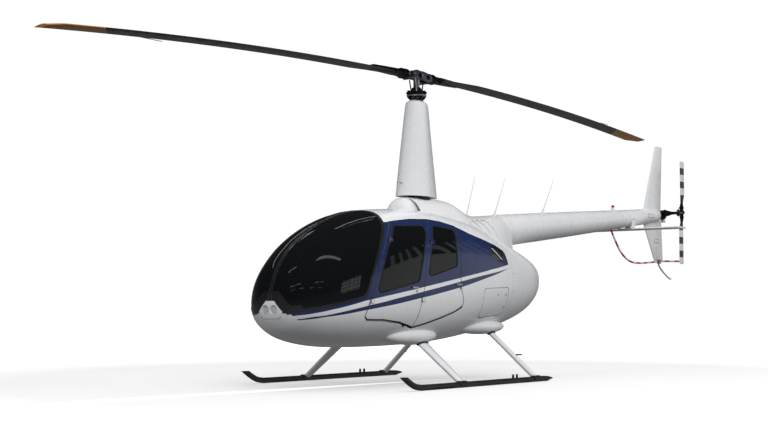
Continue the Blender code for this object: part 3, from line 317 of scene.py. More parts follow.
def prism(outline, low, high, axis="Y", finish=None):
    """The outline, given in the plane across the axis, pushed from low to high along it."""
    place = {
        "X": lambda p, depth: (depth, p[0], p[1]),
        "Y": lambda p, depth: (p[0], depth, p[1]),
        "Z": lambda p, depth: (p[0], p[1], depth),
    }[axis]
    return loft([[place(p, low) for p in outline], [place(p, high) for p in outline]], finish)


def box(x, y, z, finish=None, bevel=0.0, segments=3):
    """A block from its three pairs of limits, with rounded edges."""
    outline = ((x[0], z[0]), (x[1], z[0]), (x[1], z[1]), (x[0], z[1]))
    thing = prism(outline, y[0], y[1], "Y", finish)
    return softened(thing, bevel, segments) if bevel else thing


def softened(thing, width, segments=3):
    """The shape with its sharp edges rounded."""
    bm = bmesh.new()
    bm.from_mesh(thing.data)
    sharp = [edge for edge in bm.edges if edge.calc_face_angle(0.0) > math.radians(30)]
    bmesh.ops.bevel(bm, geom=sharp, offset=width, segments=segments, profile=0.5, affect="EDGES",
                    clamp_overlap=True)
    bm.to_mesh(thing.data)
    bm.free()
    return thing


def circle(radius, sides, centre=(0.0, 0.0)):
    turns = (2 * math.pi * i / sides for i in range(sides))
    return [(centre[0] + radius * math.cos(a), centre[1] + radius * math.sin(a)) for a in turns]


def turned(profile, centre=(0.0, 0.0, 0.0), axis="Z", finish=None, sides=32):
    """A turned shape from (height, radius) pairs along the axis through the centre."""
    rings = []
    for height, radius in profile:
        ring = []
        for a, b in circle(radius, sides) if radius else [(0.0, 0.0)]:
            offset = {"X": (height, a, b), "Y": (a, height, b), "Z": (a, b, height)}[axis]
            ring.append(Vector(centre) + Vector(offset))
        rings.append(ring)
    return loft(rings, finish)


def between(start, end, profile, finish=None, sides=16):
    """A turned shape from start to end, its profile as (share of the length, radius) pairs."""
    start, end = Vector(start), Vector(end)
    length = (end - start).length
    thing = turned([(share * length, radius) for share, radius in profile], sides=sides, finish=finish)
    spin = (end - start).to_track_quat("Z", "Y").to_matrix().to_4x4()
    thing.data.transform(Matrix.Translation(start) @ spin)
    return thing


def rod(start, end, radius, finish=None, sides=12):
    return between(start, end, ((0.0, radius), (1.0, radius)), finish, sides)


def bolt(place, direction, size, finish):
    """A hexagon head on a washer, pointing along the direction."""
    place, direction = Vector(place), Vector(direction).normalized()
    washer = rod(place, place + direction * size * 0.25, size * 0.85, finish, 16)
    head = rod(place + direction * size * 0.25, place + direction * size * 0.9, size * 0.62, finish, 6)
    return [washer, softened(head, size * 0.08, 1)]


def sweep(path, section, guide, finish=None, scales=None):
    """The section, as (across, along the guide) pairs, carried along a path of points."""
    path = [Vector(p) for p in path]
    guide = Vector(guide)
    rings = []
    for i, point in enumerate(path):
        ahead = path[min(i + 1, len(path) - 1)] - path[max(i - 1, 0)]
        side = ahead.cross(guide).normalized()
        up = side.cross(ahead).normalized()
        scale = scales[i] if scales else 1.0
        rings.append([point + side * (a * scale) + up * (b * scale) for a, b in section])
    return loft(rings, finish)


def curve_through(points, steps):
    """Catmull-Rom points through a few given ones, as rows of any length."""
    knots = [np.array(p, float) for p in points]
    knots = [2 * knots[0] - knots[1]] + knots + [2 * knots[-1] - knots[-2]]
    found = []
    for a, b, c, d in zip(knots, knots[1:], knots[2:], knots[3:]):
        for k in range(steps):
            t = k / steps
            found.append(0.5 * (2 * b + (c - a) * t + (2 * a - 5 * b + 4 * c - d) * t ** 2
                                + (3 * b - a - 3 * c + d) * t ** 3))
    return found + [knots[-2]]


def combine(target, tool, operation, keep_tool=False, solver="EXACT"):
    modifier = target.modifiers.new("combine", "BOOLEAN")
    modifier.operation = operation
    modifier.solver = solver
    modifier.object = tool
    bpy.context.view_layer.update()
    graph = bpy.context.evaluated_depsgraph_get()
    mesh = bpy.data.meshes.new_from_object(target.evaluated_get(graph))
    target.modifiers.clear()
    target.data = mesh
    if not keep_tool:
        bpy.data.objects.remove(tool)
    return target


def cut(target, tool, keep_tool=False):
    return combine(target, tool, "DIFFERENCE", keep_tool)


def join(target, *tools):
    for tool in tools:
        combine(target, tool, "UNION")
    return target


def within(target, tool, keep_tool=False):
    return combine(target, tool, "INTERSECT", keep_tool)


def copy_of(thing):
    return temp(thing.data.copy())


def mirrored(thing):
    """The same shape on the other side of the aircraft."""
    twin = copy_of(thing)
    twin.data.transform(Matrix.Scale(-1, 4, (0, 1, 0)))
    twin.data.flip_normals()
    return twin


def both_sides(things):
    return list(things) + [mirrored(thing) for thing in things]


def grown(outline, distance):
    """The outline moved outwards, or inwards for a negative distance, with mitred corners."""
    points = [Vector(p) for p in outline]
    area = sum(a.x * b.y - b.x * a.y for a, b in zip(points, points[1:] + points[:1]))
    turn = 1.0 if area > 0 else -1.0
    found = []
    for i, point in enumerate(points):
        before = (point - points[i - 1]).normalized()
        after = (points[(i + 1) % len(points)] - point).normalized()
        out_a = Vector((before.y, -before.x)) * turn
        out_b = Vector((after.y, -after.x)) * turn
        middle = (out_a + out_b).normalized()
        found.append(point + middle * (distance / max(middle.dot(out_a), 0.35)))
    return found


def rounded(outline, radius, segments=5, sharpest=25.0):
    """The outline with an arc in place of each corner that turns by more than the sharpest angle."""
    points = [Vector(p) for p in outline]
    found = []
    for i, point in enumerate(points):
        before = points[i - 1] - point
        after = points[(i + 1) % len(points)] - point
        bend = math.pi - before.angle(after)
        if math.degrees(bend) < sharpest:
            found.append(point)
            continue
        reach = min(radius * math.tan(bend / 2), 0.45 * before.length, 0.45 * after.length)
        start = point + before.normalized() * reach
        end = point + after.normalized() * reach
        for k in range(segments + 1):
            t = k / segments
            found.append(start * (1 - t) ** 2 + 2 * point * t * (1 - t) + end * t ** 2)
    return found


def merged(things):
    """One object out of several, each face with its own material."""
    bm = bmesh.new()
    finishes = []
    for thing in things:
        first = len(bm.faces)
        bm.from_mesh(thing.data)
        bm.faces.ensure_lookup_table()
        slots = []
        for finish in thing.data.materials:
            if finish not in finishes:
                finishes.append(finish)
            slots.append(finishes.index(finish))
        for face in bm.faces[first:]:
            face.material_index = slots[min(face.material_index, len(slots) - 1)]
        bpy.data.objects.remove(thing)
    mesh = bpy.data.meshes.new("shape")
    bm.to_mesh(mesh)
    bm.free()
    whole = temp(mesh)
    for finish in finishes:
        mesh.materials.append(finish)
    return whole


def place(name, things, body, stands_for=(), sharpest=32.0, hull_lit=False):
    """Names the piece, moves it to the frame's origin and lets it ride on its body."""
    piece = merged(things) if isinstance(things, (list, tuple)) else things
    piece.name = name
    piece.data.name = name
    piece.data.shade_smooth()
    piece.data.set_sharp_from_angle(angle=math.radians(sharpest))
    if hull_lit:
        light_like_hull(piece.data)
    piece.data.transform(Matrix.Translation((MAST_X, 0.0, 0.0)))
    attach(piece, body)
    if stands_for:
        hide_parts(*stands_for)
    return piece


# The fuselage's own surface

HULL_ROWS = curve_through(FUSELAGE, 5)
HULL_TABLE = np.array(curve_through(FUSELAGE, 24))[::-1]


def hull_rings(rows, sides):
    rings = []
    for x, z_low, z_high, half_width, z_mid, round_low, round_high in rows:
        if half_width < 1e-6:
            rings.append([(x, 0.0, z_mid)])
            continue
        ring = []
        for i in range(sides):
            angle = 2 * math.pi * (i + 0.5) / sides
            c, s = math.cos(angle), math.sin(angle)
            power = 2 / (round_high if s > 0 else round_low)
            height = z_high - z_mid if s > 0 else z_mid - z_low
            ring.append((x, half_width * math.copysign(abs(c) ** power, c),
                         z_mid + height * math.copysign(abs(s) ** power, s)))
        rings.append(ring)
    return rings


def hull_level(points):
    """Less than 1 inside the fuselage's outer surface, more than 1 outside it."""
    x = points[:, 0]
    low, high, width, middle, round_low, round_high = (
        np.interp(x, HULL_TABLE[:, 0], HULL_TABLE[:, k]) for k in range(1, 7))
    rise = points[:, 2] - middle
    height = np.maximum(np.where(rise > 0, high - middle, middle - low), 1e-3)
    power = np.where(rise > 0, round_high, round_low)
    return ((np.abs(points[:, 1]) / np.maximum(width, 1e-3)) ** power + (np.abs(rise) / height) ** power)


def hull_normals(points):
    """Unit normals of the fuselage's surface near the points, and the depth below it."""
    step = 2e-4
    slope = np.zeros_like(points)
    for axis in range(3):
        shift = np.zeros(3)
        shift[axis] = step
        slope[:, axis] = (hull_level(points + shift) - hull_level(points - shift)) / (2 * step)
    steep = np.linalg.norm(slope, axis=1)
    steep = np.maximum(steep, 1e-6)
    return slope / steep[:, None], (1 - hull_level(points)) / steep


def vertices_of(mesh):
    found = np.zeros(len(mesh.vertices) * 3)
    mesh.vertices.foreach_get("co", found)
    return found.reshape(-1, 3)


def hull_solid(depth, rows=HULL_ROWS, sides=96):
    """The fuselage with its surface moved inwards by the depth, or outwards if it is negative."""
    thing = loft(hull_rings(rows, sides))
    points = vertices_of(thing.data)
    normals, _ = hull_normals(points)
    normals[0] = (1.0, 0.0, 0.0)
    normals[-1] = (-1.0, 0.0, 0.0)
    points -= normals * depth
    thing.data.vertices.foreach_set("co", points.ravel())
    thing.data.update()
    return thing


def hull_skin(outer, inner):
    return cut(hull_solid(outer), hull_solid(inner, HULL_ROWS[::2], 64))


def on_blister(points):
    """Which points lie on the lugs over the strut roots."""
    found = np.zeros(len(points), bool)
    for x, y, z, long, wide, high in BLISTERS:
        level = (((points[:, 0] - x) / long) ** 2 + ((np.abs(points[:, 1]) - y) / wide) ** 2
                 + ((points[:, 2] - z) / high) ** 2)
        found |= np.abs(level - 1) < 0.04
    return found


def light_like_hull(mesh):
    """Gives skin faces the smooth fuselage's normals, so that cut panels shade without a flaw."""
    points = vertices_of(mesh)
    normals, depth = hull_normals(points)
    usable = (np.abs(depth) < 0.05) & ~on_blister(points)
    corner_vertex = np.zeros(len(mesh.loops), int)
    mesh.loops.foreach_get("vertex_index", corner_vertex)
    found = np.zeros(len(mesh.loops) * 3)
    mesh.corner_normals.foreach_get("vector", found)
    found = found.reshape(-1, 3)
    flat = np.zeros(len(mesh.polygons) * 3)
    mesh.polygons.foreach_get("normal", flat)
    sizes = np.zeros(len(mesh.polygons), int)
    mesh.polygons.foreach_get("loop_total", sizes)
    face_normal = np.repeat(flat.reshape(-1, 3), sizes, axis=0)
    wanted = normals[corner_vertex]
    along = (face_normal * wanted).sum(axis=1)
    good = usable[corner_vertex]
    outward = good & (along > 0.9)
    inward = good & (along < -0.9)
    found[outward] = wanted[outward]
    found[inward] = -wanted[inward]
    mesh.normals_split_custom_set(found.tolist())


def line_inside(thing, paint, trim, depth=0.006):
    """Paints the faces that look into the cabin with its trim."""
    mesh = thing.data
    mesh.materials.clear()
    mesh.materials.append(paint)
    mesh.materials.append(trim)
    centres = np.zeros(len(mesh.polygons) * 3)
    mesh.polygons.foreach_get("center", centres)
    _, depths = hull_normals(centres.reshape(-1, 3))
    mesh.polygons.foreach_set("material_index", (depths > depth).astype(np.int32))
    mesh.update()
    return thing


def blisters(grow=0.0):
    found = []
    for x, y, z, long, wide, high in BLISTERS:
        for side in (1, -1):
            bm = bmesh.new()
            bmesh.ops.create_uvsphere(bm, u_segments=48, v_segments=28, radius=1.0)
            for vert in bm.verts:
                vert.co = Vector((vert.co.x * (long + grow) + x, vert.co.y * (wide + grow) + side * y,
                                  vert.co.z * (high + grow) + z))
            found.append(temp(mesh_from(bm)))
    return found


# Finishes

class Shader:
    """A Principled material with short calls that add nodes to it."""

    def __init__(self, name, colour, rough, metal=0.0, **sockets):
        self.material = bpy.data.materials.new(name)
        self.material.use_nodes = True
        self.tree = self.material.node_tree
        self.main = self.tree.nodes["Principled BSDF"]
        self.set("Base Color", (*colour, 1.0))
        self.set("Roughness", rough)
        self.set("Metallic", metal)
        for socket, value in sockets.items():
            self.set(socket.replace("_", " "), value)

    def set(self, socket, value):
        self.main.inputs[socket].default_value = value

    def node(self, kind, values=None, **settings):
        made = self.tree.nodes.new(kind)
        for setting, value in settings.items():
            setattr(made, setting, value)
        for socket, value in (values or {}).items():
            if isinstance(value, bpy.types.NodeSocket):
                self.tree.links.new(value, made.inputs[socket])
            else:
                made.inputs[socket].default_value = value
        return made

    def math(self, operation, a, b=0.0, c=0.0):
        return self.node("ShaderNodeMath", {0: a, 1: b, 2: c}, operation=operation).outputs[0]

    def mix(self, factor, a, b):
        made = self.node("ShaderNodeMix", {0: factor, 6: a, 7: b}, data_type="RGBA")
        return made.outputs[2]

    def spread(self, value, low, high, to_low, to_high):
        made = self.node("ShaderNodeMapRange", {0: value, 1: low, 2: high, 3: to_low, 4: to_high})
        return made.outputs[0]

    def place(self):
        return self.node("ShaderNodeTexCoord").outputs["Object"]

    def noise(self, scale, detail=3.0, rough=0.5, stretch=None):
        place = self.place()
        if stretch:
            place = self.node("ShaderNodeMapping", {0: place, 3: stretch}).outputs[0]
        return self.node("ShaderNodeTexNoise", {0: place, "Scale": scale, "Detail": detail,
                                                "Roughness": rough}).outputs[0]

    def feed(self, socket, value):
        self.tree.links.new(value, self.main.inputs[socket])
        return self

    def bump(self, height, strength, distance):
        made = self.node("ShaderNodeBump", {"Strength": strength, "Distance": distance, "Height": height})
        return self.feed("Normal", made.outputs[0])

    def vary(self, colour, other, scale, low=0.35, high=0.65, stretch=None):
        """Lets the colour drift to another one in soft patches."""
        amount = self.spread(self.noise(scale, stretch=stretch), low, high, 0.0, 1.0)
        return self.feed("Base Color", self.mix(amount, (*colour, 1.0), (*other, 1.0)))

    def rough_between(self, scale, low, high):
        return self.feed("Roughness", self.spread(self.noise(scale, 5.0), 0.3, 0.7, low, high))


WHITE = (0.79, 0.80, 0.81)
NAVY = (0.010, 0.022, 0.085)


def painted(name, colour, other, rough=0.24):
    """Gloss paint with the faint waves and thin film of dust that real panels have."""
    paint = Shader(name, colour, rough, Coat_Weight=0.35, Coat_Roughness=0.06)
    paint.vary(colour, other, 1.7)
    paint.rough_between(9.0, rough - 0.05, rough + 0.07)
    paint.bump(paint.noise(2.6, 2.0), 0.06, 0.01)
    return paint


def livery():
    """White paint with the navy field and stripes, whose edges are curves over the length."""
    paint = Shader("livery_paint", WHITE, 0.24, Coat_Weight=0.35, Coat_Roughness=0.05)
    along = paint.node("ShaderNodeSeparateXYZ", {0: paint.place()})
    share = paint.spread(along.outputs[0], MAST_X - 1.0, MAST_X + 2.4, 0.0, 1.0)
    height = along.outputs[2]

    def under(edge):
        curve = paint.node("ShaderNodeFloatCurve", {1: share})
        line = curve.mapping.curves[0]
        stops = sorted(((x + 1.0) / 3.4, z / 2.0) for x, z in edge)
        while len(line.points) < len(stops):
            line.points.new(0.5, 0.5)
        for point, stop in zip(line.points, stops):
            point.location = stop
            point.handle_type = "AUTO"
        curve.mapping.update()
        edge_height = paint.math("MULTIPLY", curve.outputs[0], 2.0)
        return paint.math("LESS_THAN", height, edge_height)

    field = paint.math("SUBTRACT", under(NAVY_TOP), under(WHITE_STRIPE_TOP))
    thin = paint.math("SUBTRACT", under(THIN_STRIPE_TOP), under(THIN_STRIPE_FOOT))
    end_y = paint.math("MULTIPLY_ADD", paint.math("SUBTRACT", BAND_END_Z, height), BAND_END_SLANT, BAND_END_Y)
    clear_of_nose = paint.math("GREATER_THAN", paint.math("ABSOLUTE", along.outputs[1]), end_y)
    above_plate = paint.math("GREATER_THAN", height, BAND_END_Z)
    bands = paint.math("MAXIMUM", field, thin)
    navy = paint.math("MULTIPLY", bands, paint.math("MAXIMUM", clear_of_nose, above_plate))
    cloud = paint.spread(paint.noise(1.7), 0.35, 0.65, 0.0, 1.0)
    white = paint.mix(cloud, (*WHITE, 1.0), (0.76, 0.775, 0.79, 1.0))
    flake = paint.spread(paint.noise(900.0, 1.0), 0.45, 0.62, 0.0, 0.35)
    blue = paint.mix(flake, (*NAVY, 1.0), (0.016, 0.036, 0.130, 1.0))
    paint.feed("Base Color", paint.mix(navy, white, blue))
    paint.rough_between(9.0, 0.18, 0.30)
    paint.bump(paint.noise(2.6, 2.0), 0.06, 0.01)
    return paint.material


def fabric(name, colour, other, cells):
    cloth = Shader(name, colour, 0.9, Sheen_Weight=0.2)
    weave = cloth.node("ShaderNodeTexVoronoi", {0: cloth.place(), "Scale": cells}).outputs[0]
    cloth.vary(colour, other, 6.0)
    cloth.bump(weave, 0.5, 0.002)
    return cloth.material


def leather():
    hide = Shader("seat_leather", (0.045, 0.043, 0.042), 0.5, Coat_Weight=0.1, Coat_Roughness=0.4)
    grain = hide.node("ShaderNodeTexVoronoi", {0: hide.place(), "Scale": 320.0}, feature="DISTANCE_TO_EDGE")
    hide.vary((0.045, 0.043, 0.042), (0.075, 0.070, 0.066), 5.0)
    hide.rough_between(14.0, 0.40, 0.62)
    hide.bump(grain.outputs[0], 0.35, 0.001)
    return hide.material


def moulded(name, colour, rough, grain=260.0):
    plastic = Shader(name, colour, rough)
    lighter = tuple(min(1.0, 1.35 * c + 0.004) for c in colour)
    plastic.vary(colour, lighter, 8.0)
    plastic.rough_between(20.0, rough - 0.06, rough + 0.08)
    plastic.bump(plastic.noise(grain, 2.0), 0.2, 0.001)
    return plastic.material


def metal(name, colour, rough, brushed=None):
    stuff = Shader(name, colour, rough, metal=1.0)
    darker = tuple(0.7 * c for c in colour)
    stuff.vary(colour, darker, 14.0, stretch=brushed)
    stuff.rough_between(30.0, max(0.05, rough - 0.08), rough + 0.1)
    stuff.bump(stuff.noise(220.0, 2.0, stretch=brushed), 0.12, 0.001)
    return stuff.material


def glass(name, colour, alpha):
    """Tinted acrylic: the pane hides most of what is behind it and mirrors what is around it."""
    pane = Shader(name, colour, 0.03, Alpha=alpha, IOR=1.49, Specular_IOR_Level=0.6)
    pane.bump(pane.noise(1.5, 1.0), 0.03, 0.01)
    return pane.material


def lamp_glass():
    """Moulded lamp glass of small facets, with painted reflection: its pale grey and the near-white cells stand for the
    polished bowl glinting through it.
    """
    pane = Shader("lamp_glass", (0.55, 0.57, 0.60), 0.12, Coat_Weight=0.5, Coat_Roughness=0.05)
    facets = pane.node("ShaderNodeTexVoronoi", {0: pane.place(), "Scale": 150.0}).outputs[1]
    # Painted glints: some facet cells are made near white
    painted_glint = pane.spread(facets, 0.5, 0.8, 0.0, 1.0)
    pane.feed("Base Color", pane.mix(painted_glint, (0.42, 0.44, 0.47, 1.0), (0.95, 0.96, 0.98, 1.0)))
    return pane.material


def blade_paint():
    """Satin black with a gold band at each tip, cut off on a slant."""
    paint = Shader("blade_paint", (0.012, 0.012, 0.013), 0.42)
    along = paint.node("ShaderNodeSeparateXYZ", {0: paint.place()})
    out = paint.math("SUBTRACT", along.outputs[0], MAST_X)
    reach = paint.math("ABSOLUTE", out)
    side = paint.math("SIGN", out)
    across = paint.math("MULTIPLY", along.outputs[1], side)
    edge = paint.math("MULTIPLY_ADD", across, GOLD_SLANT / BLADE_CHORD, GOLD_START)
    tip = paint.math("GREATER_THAN", reach, edge)
    streak = paint.noise(3.0, 6.0, 0.7, (0.4, 6.0, 1.0))
    worn = paint.mix(paint.spread(streak, 0.4, 0.7, 0.0, 1.0), (0.010, 0.010, 0.011, 1), (0.022, 0.022, 0.023, 1))
    gold = paint.mix(paint.spread(streak, 0.4, 0.7, 0.0, 1.0), (0.48, 0.21, 0.018, 1), (0.36, 0.16, 0.016, 1))
    paint.feed("Base Color", paint.mix(tip, worn, gold))
    paint.rough_between(12.0, 0.34, 0.52)
    paint.bump(streak, 0.05, 0.005)
    return paint.material


def make_finishes():
    white = painted("white_paint", WHITE, (0.76, 0.775, 0.79)).material
    return {
        "white": white,
        "livery": livery(),
        "black": painted("black_paint", (0.010, 0.010, 0.011), (0.018, 0.018, 0.019), 0.30).material,
        "satin": moulded("black_satin", (0.012, 0.012, 0.013), 0.42, 150.0),
        "rubber": moulded("black_rubber", (0.010, 0.010, 0.010), 0.72, 90.0),
        "glass": glass("window_tint", (0.006, 0.007, 0.008), 0.80),
        "trim": moulded("cabin_trim", (0.060, 0.060, 0.063), 0.68),
        "dark_trim": moulded("dark_trim", (0.018, 0.018, 0.019), 0.6),
        "carpet": fabric("cabin_carpet", (0.030, 0.030, 0.032), (0.050, 0.050, 0.052), 700.0),
        "headliner": fabric("headliner", (0.10, 0.10, 0.105), (0.13, 0.13, 0.135), 500.0),
        "leather": leather(),
        "thread": fabric("seat_thread", (0.12, 0.12, 0.12), (0.16, 0.16, 0.16), 900.0),
        "belt": fabric("seat_belt", (0.16, 0.075, 0.035), (0.20, 0.10, 0.05), 600.0),
        "steel": metal("bare_steel", (0.56, 0.57, 0.60), 0.28, (1.0, 1.0, 8.0)),
        "forged": metal("forged_metal", (0.20, 0.215, 0.25), 0.42),
        "dark_steel": metal("dark_steel", (0.035, 0.036, 0.040), 0.45),
        "reflector": metal("lamp_reflector", (0.85, 0.86, 0.88), 0.14),
        "blade": blade_paint(),
        "white_band": painted("band_white", (0.72, 0.72, 0.71), (0.66, 0.66, 0.65), 0.35).material,
        "black_band": painted("band_black", (0.012, 0.012, 0.013), (0.02, 0.02, 0.021), 0.38).material,
        "red_band": painted("band_red", (0.62, 0.018, 0.012), (0.50, 0.015, 0.010), 0.34).material,
        "red_lens": painted("red_lens", (0.45, 0.01, 0.01), (0.36, 0.01, 0.01), 0.15).material,
        "green_lens": painted("green_lens", (0.01, 0.22, 0.08), (0.01, 0.18, 0.06), 0.15).material,
        "clear_lens": painted("clear_lens", (0.62, 0.64, 0.66), (0.55, 0.57, 0.60), 0.12).material,
        "lamp_glass": lamp_glass(),
        "grille": moulded("louvre_screen", (0.42, 0.43, 0.44), 0.5, 60.0),
        "dial": moulded("dial_face", (0.006, 0.006, 0.007), 0.5),
        "marks": moulded("dial_marks", (0.70, 0.70, 0.68), 0.5),
        "soot": moulded("sooted_steel", (0.06, 0.055, 0.05), 0.6, 120.0),
    }


FINISH = make_finishes()


# Cabin skins

def front_door_outline():
    return list(FRONT_DOOR_FRONT) + list(FRONT_DOOR_TOP) + [
        (x + DIVIDER_SHIFT, z) for x, z in DIVIDER] + list(FRONT_DOOR_FOOT)


def rear_door_outline():
    return [(x - DIVIDER_SHIFT, z) for x, z in reversed(DIVIDER)] + list(REAR_DOOR_TOP) + list(
        REAR_DOOR_AFT) + list(REAR_DOOR_FOOT)


def doorway_outline():
    foot = [FRONT_DOOR_FRONT[0], *reversed(FRONT_DOOR_FOOT), DIVIDER[-1], *reversed(REAR_DOOR_FOOT)]
    lowered = [(x, z - FOOT_DROP) for x, z in foot]
    return grown(list(FRONT_DOOR_FRONT[1:]) + list(FRONT_DOOR_TOP) + [DIVIDER[0]] + list(REAR_DOOR_TOP)
                 + list(REAR_DOOR_AFT) + lowered[::-1], DOOR_GAP)


def glazing(grow, low, high, plate_grow=0.0):
    """The windshield's region between two values of y, without the white plate at the nose."""
    region = prism(grown(WINDSHIELD, grow), low, high)
    return cut(region, prism(grown(NOSE_PLATE, plate_grow), 1.9, 3.0, "X"))


def divider_slab(half=0.035):
    line = [(0.430, 1.860), *DIVIDER, (0.896, 0.600)]
    return prism([(x - half, z) for x, z in line] + [(x + half, z) for x, z in reversed(line)], -1.2, 1.2)


def build_cabin():
    shell = join(hull_solid(0.0), *blisters())
    cut(shell, hull_solid(SHELL_WALL, HULL_ROWS[::2], 64))
    within(shell, box((CABIN_END_X, 3.0), (-2.0, 2.0), (-0.5, 3.0)))
    for side in (1, -1):
        cut(shell, prism(doorway_outline(), 0.2 * side, 1.5 * side))
        inlet = within(hull_skin(-0.02, 0.016), prism(rounded(SIDE_INLET, 0.05), 0.3 * side, 1.2 * side))
        cut(shell, inlet)
    hatch = rounded(grown(BAGGAGE_DOOR, DOOR_GAP / 2), 0.06)
    cut(shell, prism(hatch, 0.3, 1.2))
    cut(shell, glazing(0.0, -1.5, 1.5))
    cut(shell, prism(LAMP_PANEL, 2.325, 3.0, "X"))
    jamb_skin = hull_skin(JAMB_DEPTH, JAMB_DEPTH + 0.006)
    jamb = within(copy_of(jamb_skin), prism(grown(doorway_outline(), 0.012), 0.2, 1.5))
    cut(jamb, prism(grown(doorway_outline(), -0.016), 0.1, 1.6))
    jamb.data.materials.append(FINISH["livery"])
    hatch_jamb = within(jamb_skin, prism(grown(hatch, 0.012), 0.3, 1.5))
    cut(hatch_jamb, prism(grown(hatch, -0.016), 0.2, 1.6))
    hatch_jamb.data.materials.append(FINISH["white"])
    roof_line = [*ROOF_EDGE, (-1.0, 2.3), (1.4, 2.3)]
    roof = within(copy_of(shell), prism(roof_line, -1.2, 1.2))
    cut(shell, prism(grown(roof_line, SEAM), -1.2, 1.2))
    post = within(hull_skin(DOOR_WALL + 0.002, 0.065), divider_slab())
    post.data.materials.append(FINISH["dark_trim"])
    line_inside(shell, FINISH["livery"], FINISH["trim"])
    screen_skin = hull_skin(0.013, 0.016)
    screen = within(copy_of(screen_skin), prism(rounded(SIDE_INLET, 0.05), 0.3, 1.2))
    screen.data.materials.append(FINISH["satin"])
    vanes = []
    for outline, depth, finish in INLET_VANES:
        vane = within(hull_skin(depth, 0.0145), prism(outline, 0.3, 1.2))
        vane.data.materials.append(FINISH[finish])
        vanes.append(vane)
    bpy.data.objects.remove(screen_skin)
    inlet_parts = both_sides([screen, *vanes])
    place("cabin_skin", [shell, post, *both_sides([jamb]), hatch_jamb, *inlet_parts], "airframe", ["cabin_shell"], hull_lit=True)
    place("roof_skin", line_inside(roof, FINISH["white"], FINISH["headliner"]), "airframe", ["roof_panel"],
          hull_lit=True)


def build_glazing():
    frame_band = within(hull_skin(-0.002, 0.006), glazing(0.0, -1.5, 1.5))
    cut(frame_band, glazing(-0.024, -1.5, 1.5, 0.085))
    frame_band.data.materials.append(FINISH["black"])
    bow = within(hull_skin(-0.003, 0.03), glazing(0.0, -BOW_HALF, BOW_HALF))
    bow.data.materials.append(FINISH["black"])
    strips = []
    for side in (1, -1):
        strip = within(hull_skin(-0.005, 0.004), glazing(0.0, *sorted((side * 0.016, side * 0.023))))
        strip.data.materials.append(FINISH["steel"])
        strips.append(strip)
    place("windshield_frame", [frame_band, bow, *strips], "airframe", ["windshield_bow"], hull_lit=True)
    pane = within(hull_skin(0.003, 0.009), glazing(0.0, BOW_HALF, 1.2))
    pane.data.materials.append(FINISH["glass"])
    place("windshield_pane_right", mirrored(pane), "airframe", ["windshield_right"], hull_lit=True)
    place("windshield_pane_left", pane, "airframe", ["windshield_left"], hull_lit=True)


def seal_ring(outline, outer, inner, low, high):
    """A strip that follows an outline on the skin."""
    ring = within(hull_skin(low, high), prism(grown(outline, outer), 0.2, 1.3))
    cut(ring, prism(grown(outline, inner), 0.1, 1.4))
    ring.data.materials.append(FINISH["rubber"])
    return ring


def screws_along(outline, inset, pitch, radius, finish):
    """Small domed screws in a row inside an outline on the port skin."""
    points = [Vector(p) for p in grown(outline, -inset)]
    found = []
    for start, end in zip(points, points[1:] + points[:1]):
        steps = max(1, round((end - start).length / pitch))
        for k in range(steps):
            found.append(start.lerp(end, k / steps))
    return [screw_on_hull(x, z, radius, finish) for x, z in found]


def skin_y(x, z):
    """Half width of the fuselage's surface at x and z."""
    low, high = 0.0, 1.0
    for _ in range(24):
        middle = (low + high) / 2
        inside = hull_level(np.array([[x, middle, z]]))[0] < 1
        low, high = (middle, high) if inside else (low, middle)
    return low


def screw_on_hull(x, z, radius, finish, side=1):
    y = skin_y(x, z) * side
    normal = Vector(hull_normals(np.array([[x, y, z]]))[0][0])
    start = Vector((x, y, z)) - normal * radius * 0.4
    profile = ((0.0, radius), (0.55, radius), (0.85, radius * 0.7), (1.0, radius * 0.2))
    return between(start, start + normal * radius * 0.9, profile, finish, 8)


DOORS = {
    "front": (front_door_outline(), FRONT_WINDOW, ((1.240, 1.498), (1.600, 0.880)), (0.985, 1.020)),
    "rear": (rear_door_outline(), REAR_WINDOW, ((0.610, 1.500), (0.845, 0.900)), (0.225, 1.060)),
}


def door_handle(x, z):
    """A flush paddle with its lock below."""
    y = skin_y(x, z)
    normal = Vector(hull_normals(np.array([[x, y, z]]))[0][0])
    centre = Vector((x, y, z)) + normal * 0.004
    paddle = box((x - 0.050, x + 0.050), (centre.y - 0.004, centre.y + 0.010), (z - 0.011, z + 0.011),
                 FINISH["steel"], 0.006)
    lock = between(Vector((x - 0.03, y, z - 0.04)), Vector((x - 0.03, y + 0.008, z - 0.04)),
                   ((0.0, 0.011), (0.8, 0.011), (1.0, 0.008)), FINISH["steel"], 16)
    return [paddle, lock]


def hinge_on(x, z):
    """A small hinge leaf with its knuckle and one screw at a door's front edge."""
    y = skin_y(x, z)
    leaf = box((x - 0.035, x + 0.030), (y - 0.004, y + 0.007), (z - 0.022, z + 0.022), FINISH["livery"], 0.004)
    knuckle = rod((x + 0.028, y + 0.006, z - 0.026), (x + 0.022, y + 0.004, z + 0.026), 0.007, FINISH["steel"])
    return [leaf, knuckle, *bolt((x - 0.018, y + 0.006, z), (0, 1, 0), 0.006, FINISH["dark_steel"])]


